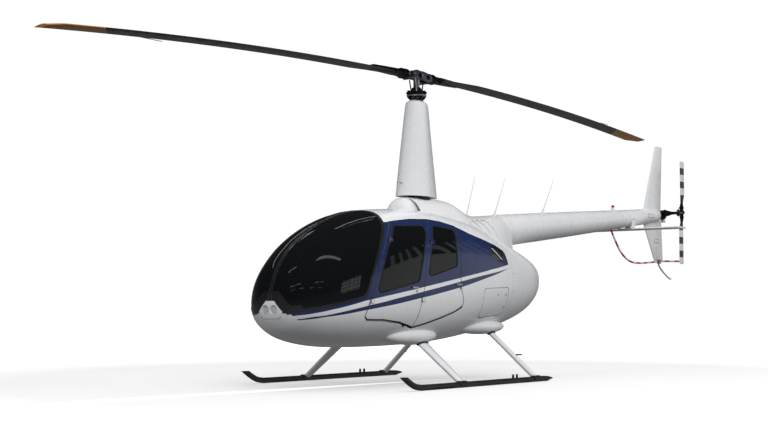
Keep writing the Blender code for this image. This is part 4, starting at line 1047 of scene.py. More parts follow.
def build_doors():
    skin = hull_skin(0.0, DOOR_WALL)
    pane_skin = hull_skin(0.003, 0.008)
    for name, (outline, window, hinges, handle) in DOORS.items():
        hole = rounded(window, 0.055)
        door = within(copy_of(skin), prism(outline, 0.25, 1.2))
        cut(door, prism(hole, 0.2, 1.3))
        line_inside(door, FINISH["livery"], FINISH["trim"])
        parts = [door, seal_ring(hole, 0.004, -0.009, -0.0015, 0.010), *door_handle(*handle)]
        for x, z in hinges:
            parts += hinge_on(x, z)
        parts += screws_along(outline, 0.016, 0.085, 0.0035, FINISH["steel"])
        pane = within(copy_of(pane_skin), prism(grown(hole, -0.002), 0.2, 1.3))
        pane.data.materials.append(FINISH["glass"])
        whole = merged(parts)
        for label, door_thing, pane_thing in (("right", mirrored(whole), mirrored(pane)),
                                              ("left", whole, pane)):
            body = f"{name}_door_{label}"
            place(f"{name}_door_skin_{label}", door_thing, body, [f"door_{name}_{label}"], hull_lit=True)
            place(f"{name}_door_pane_{label}", pane_thing, body, [f"window_{name}_{label}"], hull_lit=True)
    hatch = within(skin, prism(rounded(BAGGAGE_DOOR, 0.06), 0.3, 1.2))
    line_inside(hatch, FINISH["white"], FINISH["trim"])
    latches = [screw_on_hull(-0.80, z, 0.013, FINISH["steel"]) for z in (0.82, 0.96)]
    place("baggage_door_skin", [hatch, *latches], "baggage_door", ["door_baggage"], hull_lit=True)
    bpy.data.objects.remove(pane_skin)


# Lamps in the nose

def lamp(side):
    """A sealed beam lamp: bowl, lens with ribs and a rim."""
    centre = (2.352, side * LAMP_Y, LAMP_Z)
    bowl = turned(((-0.026, 0.0), (-0.024, 0.020), (-0.014, 0.036), (0.000, 0.044), (0.002, 0.047),
                   (-0.004, 0.047), (-0.028, 0.030), (-0.030, 0.0)), centre, "X", FINISH["reflector"], 40)
    bulb = turned(((-0.020, 0.0), (-0.018, 0.007), (-0.006, 0.007), (-0.003, 0.0)), centre, "X",
                  FINISH["clear_lens"], 16)
    rim = turned(((-0.010, 0.0475), (0.006, 0.0475), (0.0085, 0.0455), (0.0085, 0.0415), (0.002, 0.0405),
                  (-0.010, 0.0405)), centre, "X", FINISH["white"], 40)
    lens = turned(((-0.004, 0.0405), (0.000, 0.0405), (0.004, 0.030), (0.006, 0.015), (0.0065, 0.0)), centre,
                  "X", FINISH["lamp_glass"], 40)
    ribs = []
    for k in range(-3, 4):
        height = k * 0.011
        half = math.sqrt(max(0.0, 0.038 ** 2 - height ** 2))
        ribs.append(rod((centre[0] + 0.004, centre[1] - half, centre[2] + height),
                        (centre[0] + 0.004, centre[1] + half, centre[2] + height), 0.0016,
                        FINISH["clear_lens"], 6))
    return [bowl, bulb, rim, lens, *ribs]


def build_lamps():
    panel = within(hull_solid(-0.004), prism(rounded(grown(LAMP_PANEL, -0.002), 0.018), 2.326, 3.0, "X"))
    for side in (1, -1):
        cut(panel, prism(circle(LAMP_RADIUS, 40, (side * LAMP_Y, LAMP_Z)), 2.2, 3.0, "X"))
    panel.data.materials.append(FINISH["white"])
    corner_screws = []
    for y, z in ((0.120, 0.722), (0.0, 0.722), (-0.120, 0.722), (0.044, 0.866), (-0.044, 0.866)):
        corner_screws.append(turned(((0.0, 0.0045), (0.003, 0.0045), (0.0045, 0.002)), (2.352, y, z), "X",
                                    FINISH["steel"], 10))
    place("lamp_plate", [panel, *corner_screws], "airframe", ["lamp_panel"])
    for name, side in (("left", 1), ("right", -1)):
        place(f"lamp_{name}", lamp(side), "airframe", [f"landing_lamp_{name}"])


# Cabin inside

def crowned(outline, low, high, lift, dip=0.012, steps=7, finish=None):
    """A cushion over an outline of (along, across) points: crowned above, pulled in at its sides."""
    points = [Vector(p) for p in rounded(outline, 0.05, 6)]
    centre = sum(points, Vector((0.0, 0.0))) / len(points)
    rings = []
    profile = [(0.0, 0.96, 0.0), (0.0, 1.0, 0.25), (0.0, 0.985, 0.55), (0.0, 1.0, 0.82)]
    for _, scale, share in profile:
        rings.append([(*(centre + (p - centre) * scale), low + (high - low) * share) for p in points])
    for k in range(1, steps + 1):
        t = k / steps
        scale = 1.0 - t
        height = high - dip + (lift + dip) * math.sin(t * math.pi / 2) ** 0.8
        if scale > 1e-6:
            rings.append([(*(centre + (p - centre) * scale), height) for p in points])
        else:
            rings.append([(*centre, height)])
    return loft(rings, finish)


def puffed(thing, pressure=4.0, cap=0.014):
    """Blows the cushion up with Blender's cloth, and keeps each point within a short way of its start."""
    remesh = thing.modifiers.new("remesh", "REMESH")
    remesh.mode = "VOXEL"
    remesh.voxel_size = 0.014
    bpy.context.view_layer.update()
    graph = bpy.context.evaluated_depsgraph_get()
    mesh = bpy.data.meshes.new_from_object(thing.evaluated_get(graph))
    thing.modifiers.clear()
    thing.data = mesh
    start = vertices_of(mesh)
    cloth = thing.modifiers.new("cloth", "CLOTH")
    cloth.settings.use_pressure = True
    cloth.settings.uniform_pressure_force = pressure
    cloth.settings.effector_weights.gravity = 0.0
    cloth.point_cache.frame_start = 1
    cloth.point_cache.frame_end = 14
    for step in range(1, 15):
        bpy.context.scene.frame_set(step)
    graph = bpy.context.evaluated_depsgraph_get()
    blown = bpy.data.meshes.new_from_object(thing.evaluated_get(graph))
    thing.modifiers.clear()
    moved = vertices_of(blown) - start
    length = np.linalg.norm(moved, axis=1)
    moved *= (np.minimum(length, cap) / np.maximum(length, 1e-9))[:, None]
    mesh.vertices.foreach_set("co", (start + moved).ravel())
    mesh.update()
    bpy.data.meshes.remove(blown)
    bpy.context.scene.frame_set(1)
    smooth = thing.modifiers.new("smooth", "SMOOTH")
    smooth.iterations = 3
    finer = thing.modifiers.new("finer", "SUBSURF")
    finer.levels = finer.render_levels = 1
    bpy.context.view_layer.update()
    graph = bpy.context.evaluated_depsgraph_get()
    mesh = bpy.data.meshes.new_from_object(thing.evaluated_get(graph))
    thing.modifiers.clear()
    thing.data = mesh
    mesh.materials.clear()
    mesh.materials.append(FINISH["leather"])
    return thing


def seat_pad(x, y, top, thick, name, node):
    """The seat cushion, crowned on top and rounded at its edges."""
    outline = ((x[0], y[0]), (x[1], y[0]), (x[1], y[1]), (x[0], y[1]))
    pad = puffed(crowned(grown(outline, -0.018), top - thick, top - 0.014, 0.012))
    return pad


def back_pad(y, x_foot, foot, head, lean, thick):
    """The cushion of a seat back: the flat pad is made lying down and then stood up."""
    length = (head - foot) / math.cos(lean)
    outline = ((0.0, y[0]), (length, y[0]), (length, y[1]), (0.0, y[1]))
    pad = puffed(crowned(grown(outline, -0.018), 0.0, thick - 0.014, 0.010))
    turn = Matrix(((0, 0, 1, 0), (0, 1, 0, 0), (1, 0, 0, 0), (0, 0, 0, 1)))
    pad.data.transform(turn)
    pad.data.flip_normals()
    pad.data.transform(Matrix.Translation((x_foot, 0.0, foot)) @ Matrix.Rotation(-lean, 4, "Y"))
    return pad


def piping(path, radius=0.006):
    """A sewn edge of thin cord along a closed path."""
    closed = [*path, path[0], path[1]]
    return sweep(closed, circle(radius, 8), (0.13, 0.21, 1.0), FINISH["thread"])


def belt(points, width=0.046):
    """A flat strap through a few points."""
    section = ((-width / 2, -0.001), (width / 2, -0.001), (width / 2, 0.001), (-width / 2, 0.001))
    return sweep(curve_through(points, 6), section, (1.0, 0.0, 0.35), FINISH["belt"])


def build_front_seats():
    for label, side in (("left", 1), ("right", -1)):
        middle = 0.33 * side
        y = (middle - 0.225, middle + 0.225)
        shell = [
            box((0.80, 1.20), (y[0] + 0.012, y[1] - 0.012), (0.602, 0.845), FINISH["dark_trim"], 0.02),
            prism(((0.775, 0.84), (0.812, 0.84), (0.705, 1.365), (0.668, 1.365)), y[0] + 0.02, y[1] - 0.02, "Y",
                  FINISH["dark_trim"]),
        ]
        softened(shell[1], 0.01)
        shell += [rod((0.715, middle + dy, 1.34), (0.705, middle + dy, 1.42), 0.006, FINISH["steel"])
                  for dy in (-0.06, 0.06)]
        cushion = merged([seat_pad((0.80, 1.215), y, 0.958, 0.115, "", "")])
        back = back_pad((y[0] + 0.005, y[1] - 0.005), 0.815, 0.925, 1.355, math.radians(11.5), 0.075)
        head = puffed(crowned(((0.0, middle - 0.115), (0.15, middle - 0.115), (0.15, middle + 0.115),
                               (0.0, middle + 0.115)), 0.0, 0.075, 0.008), cap=0.008)
        turn = Matrix(((0, 0, 1, 0), (0, 1, 0, 0), (1, 0, 0, 0), (0, 0, 0, 1)))
        head.data.transform(turn)
        head.data.flip_normals()
        head.data.transform(Matrix.Translation((0.672, 0.0, 1.375)))
        strap = belt(((0.76, middle + 0.13 * side, 1.345), (0.815, middle + 0.12 * side, 1.30),
                      (0.905, middle + 0.05 * side, 1.05), (0.93, middle - 0.10 * side, 0.975)))
        lap = belt(((0.86, middle - 0.21, 0.93), (0.93, middle - 0.12, 0.972), (0.95, middle, 0.978),
                    (0.93, middle + 0.12, 0.972), (0.86, middle + 0.21, 0.93)))
        buckle = box((0.935, 0.975), (middle - 0.03, middle + 0.03), (0.972, 0.990), FINISH["steel"], 0.004)
        base = place(f"seat_shell_{label}", [*shell, strap, lap, buckle], "airframe", [f"seat_front_{label}"])
        for name, soft, fill in (("cushion", cushion, 0.7), ("back", back, 0.7), ("headrest", head, 0.8)):
            piece = place(f"seat_{name}_{label}", soft, "airframe", sharpest=60.0)


def build_rear_bench():
    base = box((-0.03, 0.40), (-0.54, 0.54), (0.602, 0.845), FINISH["dark_trim"], 0.02)
    wall = prism(((-0.068, 0.86), (-0.045, 0.86), (-0.145, 1.44), (-0.165, 1.44)), -0.53, 0.53, "Y",
                 FINISH["dark_trim"])
    straps = []
    for middle in (-0.36, 0.0, 0.36):
        straps.append(belt(((-0.10, middle + 0.08, 1.44), (-0.030, middle + 0.07, 1.38),
                            (0.062, middle, 1.08), (0.12, middle - 0.07, 0.975))))
    bench = place("bench_shell", [base, wall, *straps], "airframe", ["seat_rear"])
    for k, middle in enumerate((-0.36, 0.0, 0.36)):
        y = (middle - 0.175, middle + 0.175)
        cushion = seat_pad((-0.02, 0.415), y, 0.958, 0.115, "", "")
        back = back_pad(y, -0.035, 0.925, 1.43, math.radians(10.0), 0.075)
        for name, soft in (("cushion", cushion), ("back", back)):
            piece = place(f"bench_{name}_{k + 1}", soft, "airframe", sharpest=60.0)


def dial(x, y, z, radius, tilt):
    """A round instrument: bezel, black face, tick marks and a pointer."""
    parts = [
        turned(((0.0, radius + 0.004), (0.006, radius + 0.004), (0.008, radius), (0.004, radius - 0.002),
                (0.003, 0.0)), (0, 0, 0), "X", FINISH["satin"], 24),
        turned(((0.0031, 0.0), (0.0032, radius - 0.003), (0.0038, radius - 0.003), (0.0039, 0.0)), (0, 0, 0), "X",
               FINISH["dial"], 24),
    ]
    for k in range(12):
        angle = 2 * math.pi * k / 12
        inner, outer = 0.74 * radius, 0.90 * radius
        parts.append(rod((0.0042, inner * math.cos(angle), inner * math.sin(angle)),
                         (0.0042, outer * math.cos(angle), outer * math.sin(angle)), 0.0008,
                         FINISH["marks"], 4))
    swing = random.uniform(0.0, 2 * math.pi)
    parts.append(rod((0.0046, 0.0, 0.0), (0.0046, 0.7 * radius * math.cos(swing), 0.7 * radius * math.sin(swing)),
                     0.0009, FINISH["marks"], 4))
    facing = Matrix.Translation((x, y, z)) @ Matrix.Rotation(math.pi + tilt, 4, "Y")
    for part in parts:
        part.data.transform(facing)
    return parts


def build_console():
    stem = prism(((1.62, 0.602), (1.88, 0.602), (2.00, 0.90), (1.96, 1.10), (1.84, 1.10), (1.74, 0.86)),
                 -0.095, 0.095, "Y", FINISH["dark_trim"])
    softened(stem, 0.012)
    binnacle = prism(((1.795, 0.955), (1.945, 0.935), (1.980, 1.02), (1.950, 1.215), (1.862, 1.232)),
                     -0.200, 0.200, "Y", FINISH["dark_trim"])
    softened(binnacle, 0.014)
    shade = prism(((1.835, 1.226), (1.955, 1.212), (1.958, 1.220), (1.838, 1.240)), -0.207, 0.207, "Y",
                  FINISH["satin"])
    dials = []
    lean = math.atan2(1.862 - 1.795, 1.232 - 0.955)
    for row, z in enumerate((1.165, 1.085, 1.010)):
        for y in (-0.135, -0.045, 0.045, 0.135):
            x = 1.795 + (z - 0.955) * math.tan(lean) - 0.002
            dials += dial(x, y, z, 0.036 if row else 0.038, -lean)
    switches = []
    for k in range(6):
        y = -0.065 + 0.026 * k
        switches.append(rod((1.755, y, 0.885), (1.738, y, 0.896), 0.004, FINISH["steel"], 8))
    place("console_dressed", [stem, binnacle, shade, *dials, *switches], "airframe", ["instrument_console"])


def build_controls():
    post = sweep(curve_through(((1.48, 0.0, 0.602), (1.48, 0.0, 0.66), (1.50, 0.0, 0.82), (1.45, 0.0, 1.02)), 8),
                 circle(0.015, 16), (0, 1, 0), FINISH["dark_steel"])
    boot = turned(((0.602, 0.050), (0.625, 0.046), (0.640, 0.030), (0.665, 0.018)), (1.48, 0, 0), "Z",
                  FINISH["rubber"])
    bar = sweep(curve_through(((1.45, -0.345, 1.03), (1.45, 0.0, 1.02), (1.45, 0.345, 1.03)), 6),
                circle(0.012, 16), (0, 0, 1), FINISH["dark_steel"])
    grips = []
    for side in (1, -1):
        grips.append(turned(((0.902, 0.012), (0.915, 0.017), (0.945, 0.015), (0.985, 0.017), (1.030, 0.017),
                             (1.046, 0.010)), (1.45, side * 0.36, 0.0), "Z", FINISH["rubber"], 20))
    levers = []
    for side in (1, -1):
        levers.append(rod((1.02, side * 0.075, 0.68), (1.32, side * 0.075, 0.86), 0.012, FINISH["dark_steel"]))
        levers.append(rod((1.26, side * 0.075, 0.824), (1.36, side * 0.075, 0.884), 0.018, FINISH["rubber"]))
        for dy in (0.13, 0.30):
            x, y = 1.80, side * dy
            levers.append(rod((x, y, 0.605), (x + 0.02, y, 0.73), 0.008, FINISH["steel"]))
            levers.append(box((x + 0.002, x + 0.022), (y - 0.045, y + 0.045), (0.715, 0.785),
                              FINISH["rubber"], 0.006))
    place("controls_dressed", [post, boot, bar, *grips, *levers], "airframe", ["cyclic_stick"])


def repaint(node, finish):
    materials = frame["nodes"][node].data.materials
    for k in range(len(materials)):
        materials[k] = FINISH[finish]


def build_inside():
    build_front_seats()
    build_rear_bench()
    build_console()
    build_controls()
    repaint("cabin_floor", "carpet")
    repaint("cabin_bulkhead", "headliner")
    repaint("firewall", "steel")
    repaint("engine_block", "soot")


# Cowls and mast

def half_section(x, top, half_width, base, steps=48):
    ring = []
    for k in range(steps + 1):
        angle = math.pi * k / steps
        c, s = math.cos(angle), math.sin(angle)
        power = 2 / COWL_ROUNDNESS
        ring.append((x, half_width * math.copysign(abs(c) ** power, c), base + (top - base) * abs(s) ** power))
    return ring


def cowl_solid(stations, shrink=0.0, base=COWL_BASE_Z, steps=6):
    return loft([half_section(x, top - shrink, half - shrink, base)
                 for x, top, half in curve_through(stations, steps)])


def rivets(places, radius, finish):
    """Flat domes at (point, normal) pairs, as one mesh."""
    bm = bmesh.new()
    for point, normal in places:
        point, normal = Vector(point), Vector(normal).normalized()
        turn = normal.to_track_quat("Z", "Y").to_matrix()
        rows = []
        for height, size in ((-0.3, 1.0), (0.25, 0.8), (0.45, 0.35)):
            rows.append([bm.verts.new(point + turn @ Vector((a, b, height * radius)))
                         for a, b in circle(size * radius, 6)])
        for near, far in zip(rows, rows[1:]):
            for i in range(6):
                j = (i + 1) % 6
                bm.faces.new((near[i], near[j], far[j], far[i]))
        bm.faces.new(rows[-1])
    mesh = bpy.data.meshes.new("rivets")
    bm.to_mesh(mesh)
    bm.free()
    return temp(mesh, finish)


def build_aft_cowl():
    aft = join(hull_solid(0.0), *blisters())
    cut(aft, hull_solid(COWL_WALL, HULL_ROWS[::2], 64))
    within(aft, box((-3.0, CABIN_END_X - SEAM), (-2.0, 2.0), (-0.5, 3.0)))
    cut(aft, turned(((-0.4, 0.115), (0.4, 0.115)), (-1.42, -0.16, 0.66), "Z"))
    aft.data.materials.append(FINISH["white"])
    parts = [aft]
    for x, z in ((-0.985, 0.80), (-0.985, 1.00), (-0.985, 1.20), (-0.985, 0.66)):
        parts += both_sides([screw_on_hull(x, z, 0.007, FINISH["steel"])])
    place("aft_cowl_skin", parts, "airframe", ["aft_cowl"], hull_lit=True)


def build_upper_cowl():
    upper = cowl_solid(COWL)
    front, *others = COWL
    longer = [(front[0] + 0.05, *front[1:]), *others]
    mouth = within(cowl_solid(longer, 0.012, COWL_BASE_Z + 0.02),
                   box((COWL[1][0] + 0.03, 0.5), (-0.5, 0.5), (1.0, 3.0)))
    mouth.data.materials.append(FINISH["satin"])
    upper.data.materials.append(FINISH["white"])
    cut(upper, mouth)
    base = cowl_solid(MAST_BASE, 0.0, COWL_BASE_Z + 0.04)
    base.data.materials.append(FINISH["white"])
    join(upper, base)
    cut(upper, hull_solid(0.002, HULL_ROWS[::2], 64))
    screens = []
    for outline in (*LOUVRES, DARK_SLOT):
        slot = rounded(outline, 0.02, 3)
        dark = outline is DARK_SLOT
        for side in (1, -1):
            bite = within(cut(cowl_solid(COWL, -0.02), cowl_solid(COWL, 0.010)),
                          prism(slot, 0.05 * side, 0.6 * side))
            bite.data.materials.clear()
            bite.data.materials.append(FINISH["satin"] if dark else FINISH["grille"])
            cut(upper, bite)
    place("upper_cowl_skin", [upper, *screens], "airframe", ["upper_cowl"], sharpest=28.0)


def build_mast():
    rows = curve_through(MAST_FAIRING[:4], 6) + [np.array(row) for row in MAST_FAIRING[4:]]
    rings = []
    for z, nose, tail, width in rows:
        rings.append([(nose - s, t, z) for s, t in aerofoil(nose - tail, width, 28)])
    fairing = loft(rings, FINISH["white"])
    # Painted shade: a satin black band under the fairing's foot stands for the dark gap between the fairing and the
    # cowl
    foot = turned(((2.010, 0.150), (2.060, 0.150)), (0, 0, 0), "Z", FINISH["satin"])
    top = turned(((3.124, 0.075), (3.127, 0.075), (3.128, 0.048), (3.124, 0.048)), (0, 0, 0), "Z",
                 FINISH["satin"])
    places = []
    for z in np.arange(2.12, 3.06, 0.075):
        t = (z - 2.045) / (3.060 - 2.045)
        tail = -0.380 + (0.380 - 0.222) * t + 0.030
        for side in (1, -1):
            places.append(((tail, side * 0.0085, z), (0, side, 0)))
    pitot = [rod((0.262, 0.0, 2.185), (0.300, 0.0, 2.185), 0.006, FINISH["steel"]),
             rod((0.296, 0.0, 2.185), (0.345, 0.0, 2.188), 0.004, FINISH["steel"])]
    place("mast_fairing_skin", [fairing, foot, top, rivets(places, 0.004, FINISH["white"]), *pitot], "airframe",
          ["mast_fairing"], sharpest=40.0)


# Tail

def aerofoil(chord, thickness, steps=20, tail=0.0):
    """Points (behind the leading edge, across) round a symmetric aerofoil."""
    upper = []
    for k in range(steps + 1):
        s = (1 - math.cos(math.pi * k / steps)) / 2
        upper.append((s * chord, thickness / 2 * (2.598 * math.sqrt(s) * (1 - s) + tail * s)))
    lower = [(s, -t) for s, t in reversed(upper)]
    if tail == 0.0:
        return upper[:-1] + lower[:-1]
    return upper + lower[:-1]


def cone_at(x):
    """Centre height and radius of the tailcone at x."""
    xs = [row[0] for row in reversed(TAILCONE)]
    heights = [row[1] for row in reversed(TAILCONE)]
    radii = [row[2] for row in reversed(TAILCONE)]
    return float(np.interp(x, xs, heights)), float(np.interp(x, xs, radii))


def build_tailcone():
    rings = [[(x, r * math.cos(a), z + r * math.sin(a))
              for a in (2 * math.pi * i / 72 for i in range(72))] for x, z, r in TAILCONE]
    rings.insert(0, [(-1.50, y, z - 0.01) for _, y, z in rings[0]])
    cone = loft(rings, FINISH["white"])
    cut(cone, hull_solid(0.004, HULL_ROWS[::2], 64))
    parts = [cone]
    places = []
    for joint_x in (-1.640, -2.350, -3.060, -3.770, -4.480, -5.190, -5.600):
        for offset in (-0.014, 0.014):
            z, r = cone_at(joint_x + offset)
            for k in range(int(2 * math.pi * r / 0.034)):
                a = 2 * math.pi * k / int(2 * math.pi * r / 0.034)
                places.append(((joint_x + offset, r * math.cos(a), z + r * math.sin(a)),
                               (0, math.cos(a), math.sin(a))))
        z, r = cone_at(joint_x)
        for a, b in ((r + 0.0010, r - 0.004), ):
            parts.append(turned(((-0.0012, b), (-0.0010, a), (0.0010, a), (0.0012, b)), (joint_x, 0, z), "X",
                                FINISH["grille"], 72))
    for x in np.arange(-1.66, -5.60, -0.034):
        z, r = cone_at(x)
        for angle in (math.radians(-52), math.radians(232)):
            places.append(((x, r * math.cos(angle), z + r * math.sin(angle)), (0, math.cos(angle), math.sin(angle))))
    parts.append(rivets(places, 0.0032, FINISH["white"]))
    for side in (1, -1):
        for x0, x1, z in ((-5.26, -5.44, 2.116), ):
            z_mid, r = cone_at((x0 + x1) / 2)
            plate = within(loft([[(x, (cone_at(x)[1] + 0.0015) * math.cos(a), cone_at(x)[0]
                                   + (cone_at(x)[1] + 0.0015) * math.sin(a))
                                  for a in (2 * math.pi * i / 48 for i in range(48))] for x in (x1 - 0.1, x0 + 0.1)]),
                           prism(rounded(((x1, z - 0.026), (x0, z - 0.026), (x0, z + 0.026), (x1, z + 0.026)), 0.022),
                                 0.02 * side, 0.5 * side))
            plate.data.materials.append(FINISH["red_band"])
            parts.append(plate)
            inner = within(loft([[(x, (cone_at(x)[1] + 0.0028) * math.cos(a), cone_at(x)[0]
                                   + (cone_at(x)[1] + 0.0028) * math.sin(a))
                                  for a in (2 * math.pi * i / 48 for i in range(48))] for x in (x1 - 0.1, x0 + 0.1)]),
                           prism(rounded(((x1 + 0.006, z - 0.020), (x0 - 0.006, z - 0.020), (x0 - 0.006, z + 0.020),
                                          (x1 + 0.006, z + 0.020)), 0.018), 0.02 * side, 0.5 * side))
            inner.data.materials.append(FINISH["white"])
            parts.append(inner)
    place("tailcone_skin", parts, "airframe", ["tailcone"])


def fin(stations, tail=0.25):
    rings = []
    rows = curve_through(stations, 4)
    for lead, trail, z, thickness in rows:
        rings.append([(lead - s, t, z) for s, t in aerofoil(lead - trail, thickness, 20, tail)])
    lead, trail, z, thickness = rows[-1]
    up = 1 if z > rows[0][2] else -1
    for rise, scale in ((0.008, 0.93), (0.013, 0.78)):
        chord = (lead - trail) * scale
        nose = (lead + trail) / 2 + chord / 2
        rings.append([(nose - s, t, z + up * rise) for s, t in aerofoil(chord, thickness * scale, 20, tail)])
    return loft(rings, FINISH["white"])


def build_fins():
    place("upper_fin_skin", fin(UPPER_FIN), "airframe", ["upper_fin"])
    lower = fin(LOWER_FIN)
    plate = prism(rounded(((-5.60, 1.745), (-5.73, 1.745), (-5.73, 1.800), (-5.60, 1.800)), 0.015), -0.022, 0.022,
                  "Y", FINISH["red_band"])
    inner = prism(rounded(((-5.606, 1.751), (-5.724, 1.751), (-5.724, 1.794), (-5.606, 1.794)), 0.012), -0.0232,
                  0.0232, "Y", FINISH["white"])
    place("lower_fin_skin", [lower, plate, inner], "airframe", ["lower_fin"])


def build_stabiliser():
    half, chord, x0, z0 = 0.790, 0.290, -4.800, 1.905
    rings = []
    for y in np.linspace(-0.755, 0.755, 13):
        rings.append([(x0 - s, y, z0 + t) for s, t in aerofoil(chord, 0.034, 20, 0.15)])
    plane = loft(rings, FINISH["white"])
    caps = []
    for reach, inset in ((0.750, 0.0), (0.772, 0.004), (0.784, 0.022), (half, 0.060)):
        section = aerofoil(chord - 1.6 * inset, 0.036 * (1 - inset * 8), 20, 0.15)
        caps.append([(x0 - inset - s, reach, z0 + t) for s, t in section])
    mount = box((x0 - 0.20, x0 - 0.05), (-0.040, 0.040), (z0, 2.005), FINISH["white"], 0.006)
    strap = prism(((0.119, 2.050), (0.126, 2.050), (0.110, z0 - 0.004), (0.103, z0 - 0.004)), x0 - 0.045,
                  x0 + 0.045, "X", FINISH["white"])
    pins = bolt((x0 + 0.020, 0.125, 2.040), (0, 1, 0.1), 0.008, FINISH["steel"])
    pins += bolt((x0 - 0.020, 0.125, 2.040), (0, 1, 0.1), 0.008, FINISH["steel"])
    sides = both_sides([loft(caps, FINISH["white_band"]), strap, *pins])
    place("stabiliser_skin", [plane, mount, *sides], "airframe", ["stabiliser"])


GUARD_PATH = (
    (-4.370, 0.000, 1.900), (-4.450, 0.004, 1.780), (-4.620, 0.016, 1.580), (-4.830, 0.030, 1.465),
    (-5.100, 0.034, 1.440), (-5.500, 0.034, 1.462), (-5.800, 0.034, 1.482), (-6.000, 0.080, 1.488),
    (-6.250, 0.150, 1.492),
)
TAIL_SKID_PATH = (
    (-5.700, 0.034, 1.470), (-5.730, 0.022, 1.420), (-5.900, 0.0, 1.330), (-6.080, 0.0, 1.245),
    (-6.140, 0.0, 1.235),
)


def banded_tube(path, radius, band, first, second):
    """A tube whose paint changes colour at a steady pitch along it."""
    points = [Vector(p) for p in curve_through(path, 24)]
    lengths = [0.0]
    for a, b in zip(points, points[1:]):
        lengths.append(lengths[-1] + (b - a).length)
    tube = sweep(points, circle(radius, 20), (0, 1, 0), first)
    tube.data.materials.append(second)
    for polygon in tube.data.polygons:
        nearest = min(range(len(points)), key=lambda i: (points[i] - polygon.center).length_squared)
        polygon.material_index = int(lengths[nearest] / band) % 2
    return tube


def build_guard():
    guard = banded_tube(GUARD_PATH, 0.0135, 0.105, FINISH["red_band"], FINISH["white_band"])
    skid = sweep(curve_through(TAIL_SKID_PATH, 10), circle(0.0125, 16), (0, 1, 0), FINISH["white_band"])
    clamp = box((-5.74, -5.68), (0.012, 0.056), (1.445, 1.505), FINISH["steel"], 0.006)
    place("tail_guard_tube", [guard, skid, clamp], "airframe", ["tail_guard"])


def build_tail_gearbox():
    x0 = TAILCONE[-1][0]
    z0 = TAILCONE[-1][1]
    parts = [
        turned(((0.004, 0.050), (-0.012, 0.058), (-0.020, 0.058), (-0.026, 0.050), (-0.060, 0.054),
                (-0.066, 0.060), (-0.080, 0.060), (-0.088, 0.054), (-0.190, 0.054), (-0.205, 0.048),
                (-0.228, 0.034), (-0.235, 0.0)), (x0, 0, z0), "X", FINISH["dark_steel"], 32),
        turned(((-0.05, 0.052), (0.040, 0.050), (0.052, 0.056), (0.066, 0.056), (0.078, 0.044), (0.110, 0.040),
                (0.140, 0.030), (0.175, 0.022), (0.2547, 0.020)), (TAIL_ROTOR.x, 0, TAIL_ROTOR.z), "Y",
               FINISH["dark_steel"], 32),
    ]
    for k in range(8):
        a = 2 * math.pi * k / 8
        parts += bolt((x0 - 0.020, 0.050 * math.cos(a), z0 + 0.050 * math.sin(a)), (-1, 0, 0), 0.006, FINISH["steel"])
    for k in range(6):
        z = -0.040 + 0.016 * k
        parts.append(box((x0 - 0.180, x0 - 0.095), (-0.058, 0.058), (z0 + z - 0.002, z0 + z + 0.002),
                         FINISH["dark_steel"]))
    parts.append(rod((x0 - 0.150, 0.0, z0 + 0.050), (x0 - 0.150, 0.0, z0 + 0.071), 0.010, FINISH["steel"]))
    lens = turned(((0.0, 0.020), (0.012, 0.020), (0.030, 0.014), (0.038, 0.0)), (x0 - 0.215, 0.0, 2.070), "X",
                  FINISH["clear_lens"], 20)
    lens.data.transform(Matrix.Translation((x0 - 0.215, 0, 0)) @ Matrix.Scale(-1, 4, (1, 0, 0))
                        @ Matrix.Translation((-(x0 - 0.215), 0, 0)))
    lens.data.flip_normals()
    parts.append(lens)
    parts.append(box((x0 - 0.222, x0 - 0.160), (-0.018, 0.018), (2.052, 2.100), FINISH["white"], 0.006))
    place("tail_gearbox_cast", parts, "airframe", ["tail_gearbox"])


def build_tail_rotor():
    x0, y0, z0 = TAIL_ROTOR
    hub = [
        turned(((-0.068, 0.020), (-0.050, 0.024), (-0.030, 0.030), (0.028, 0.030), (0.036, 0.024), (0.045, 0.012),
                (0.045, 0.0)), (x0, y0, z0), "Y", FINISH["forged"], 28),
        turned(((-0.060, 0.050), (-0.052, 0.054), (-0.046, 0.050)), (x0, y0, z0), "Y", FINISH["dark_steel"], 28),
    ]
    for side in (1, -1):
        hub.append(turned(((0.0, 0.026), (side * 0.05, 0.026), (side * 0.06, 0.030), (side * 0.078, 0.030),
                           (side * 0.09, 0.024), (side * 0.125, 0.022)), (x0, y0, z0), "Z",
                          FINISH["dark_steel"], 24))
        hub.append(rod((x0 + 0.045 * side, y0 - 0.052, z0), (x0 + 0.050 * side, y0 - 0.004, z0 + side * 0.085),
                       0.006, FINISH["steel"]))
        hub += bolt((x0, y0 + 0.028, z0 + side * 0.068), (0, 1, 0), 0.010, FINISH["steel"])
    place("tail_rotor_hub_dressed", hub, "tail_rotor", ["tail_rotor_hub"])
    bands = ((0.1253, "black_band"), (0.255, "white_band"), (0.353, "black_band"), (0.450, "white_band"),
             (0.548, "black_band"), (0.645, "white_band"), (0.742, None))
    for name, side in (("upper", 1), ("lower", -1)):
        pieces = []
        for (start, finish), (end, _) in zip(bands, bands[1:]):
            rings = []
            for radius in np.linspace(start, end, 6):
                grip = max(0.0, (0.26 - radius) / 0.135)
                chord = 0.128 - 0.078 * min(1.0, grip)
                thickness = 0.0155 + 0.020 * min(1.0, grip)
                if radius > 0.738:
                    chord, thickness = 0.120, 0.010
                section = aerofoil(chord, thickness, 16, 0.1)
                rings.append([(x0 + side * (0.30 * chord - s), y0 + t, z0 + side * radius) for s, t in section])
            pieces.append(loft(rings, FINISH[finish]))
        place(f"tail_blade_{name}_painted", pieces, "tail_rotor", [f"tail_blade_{name}"])


# Gear and small outside pieces

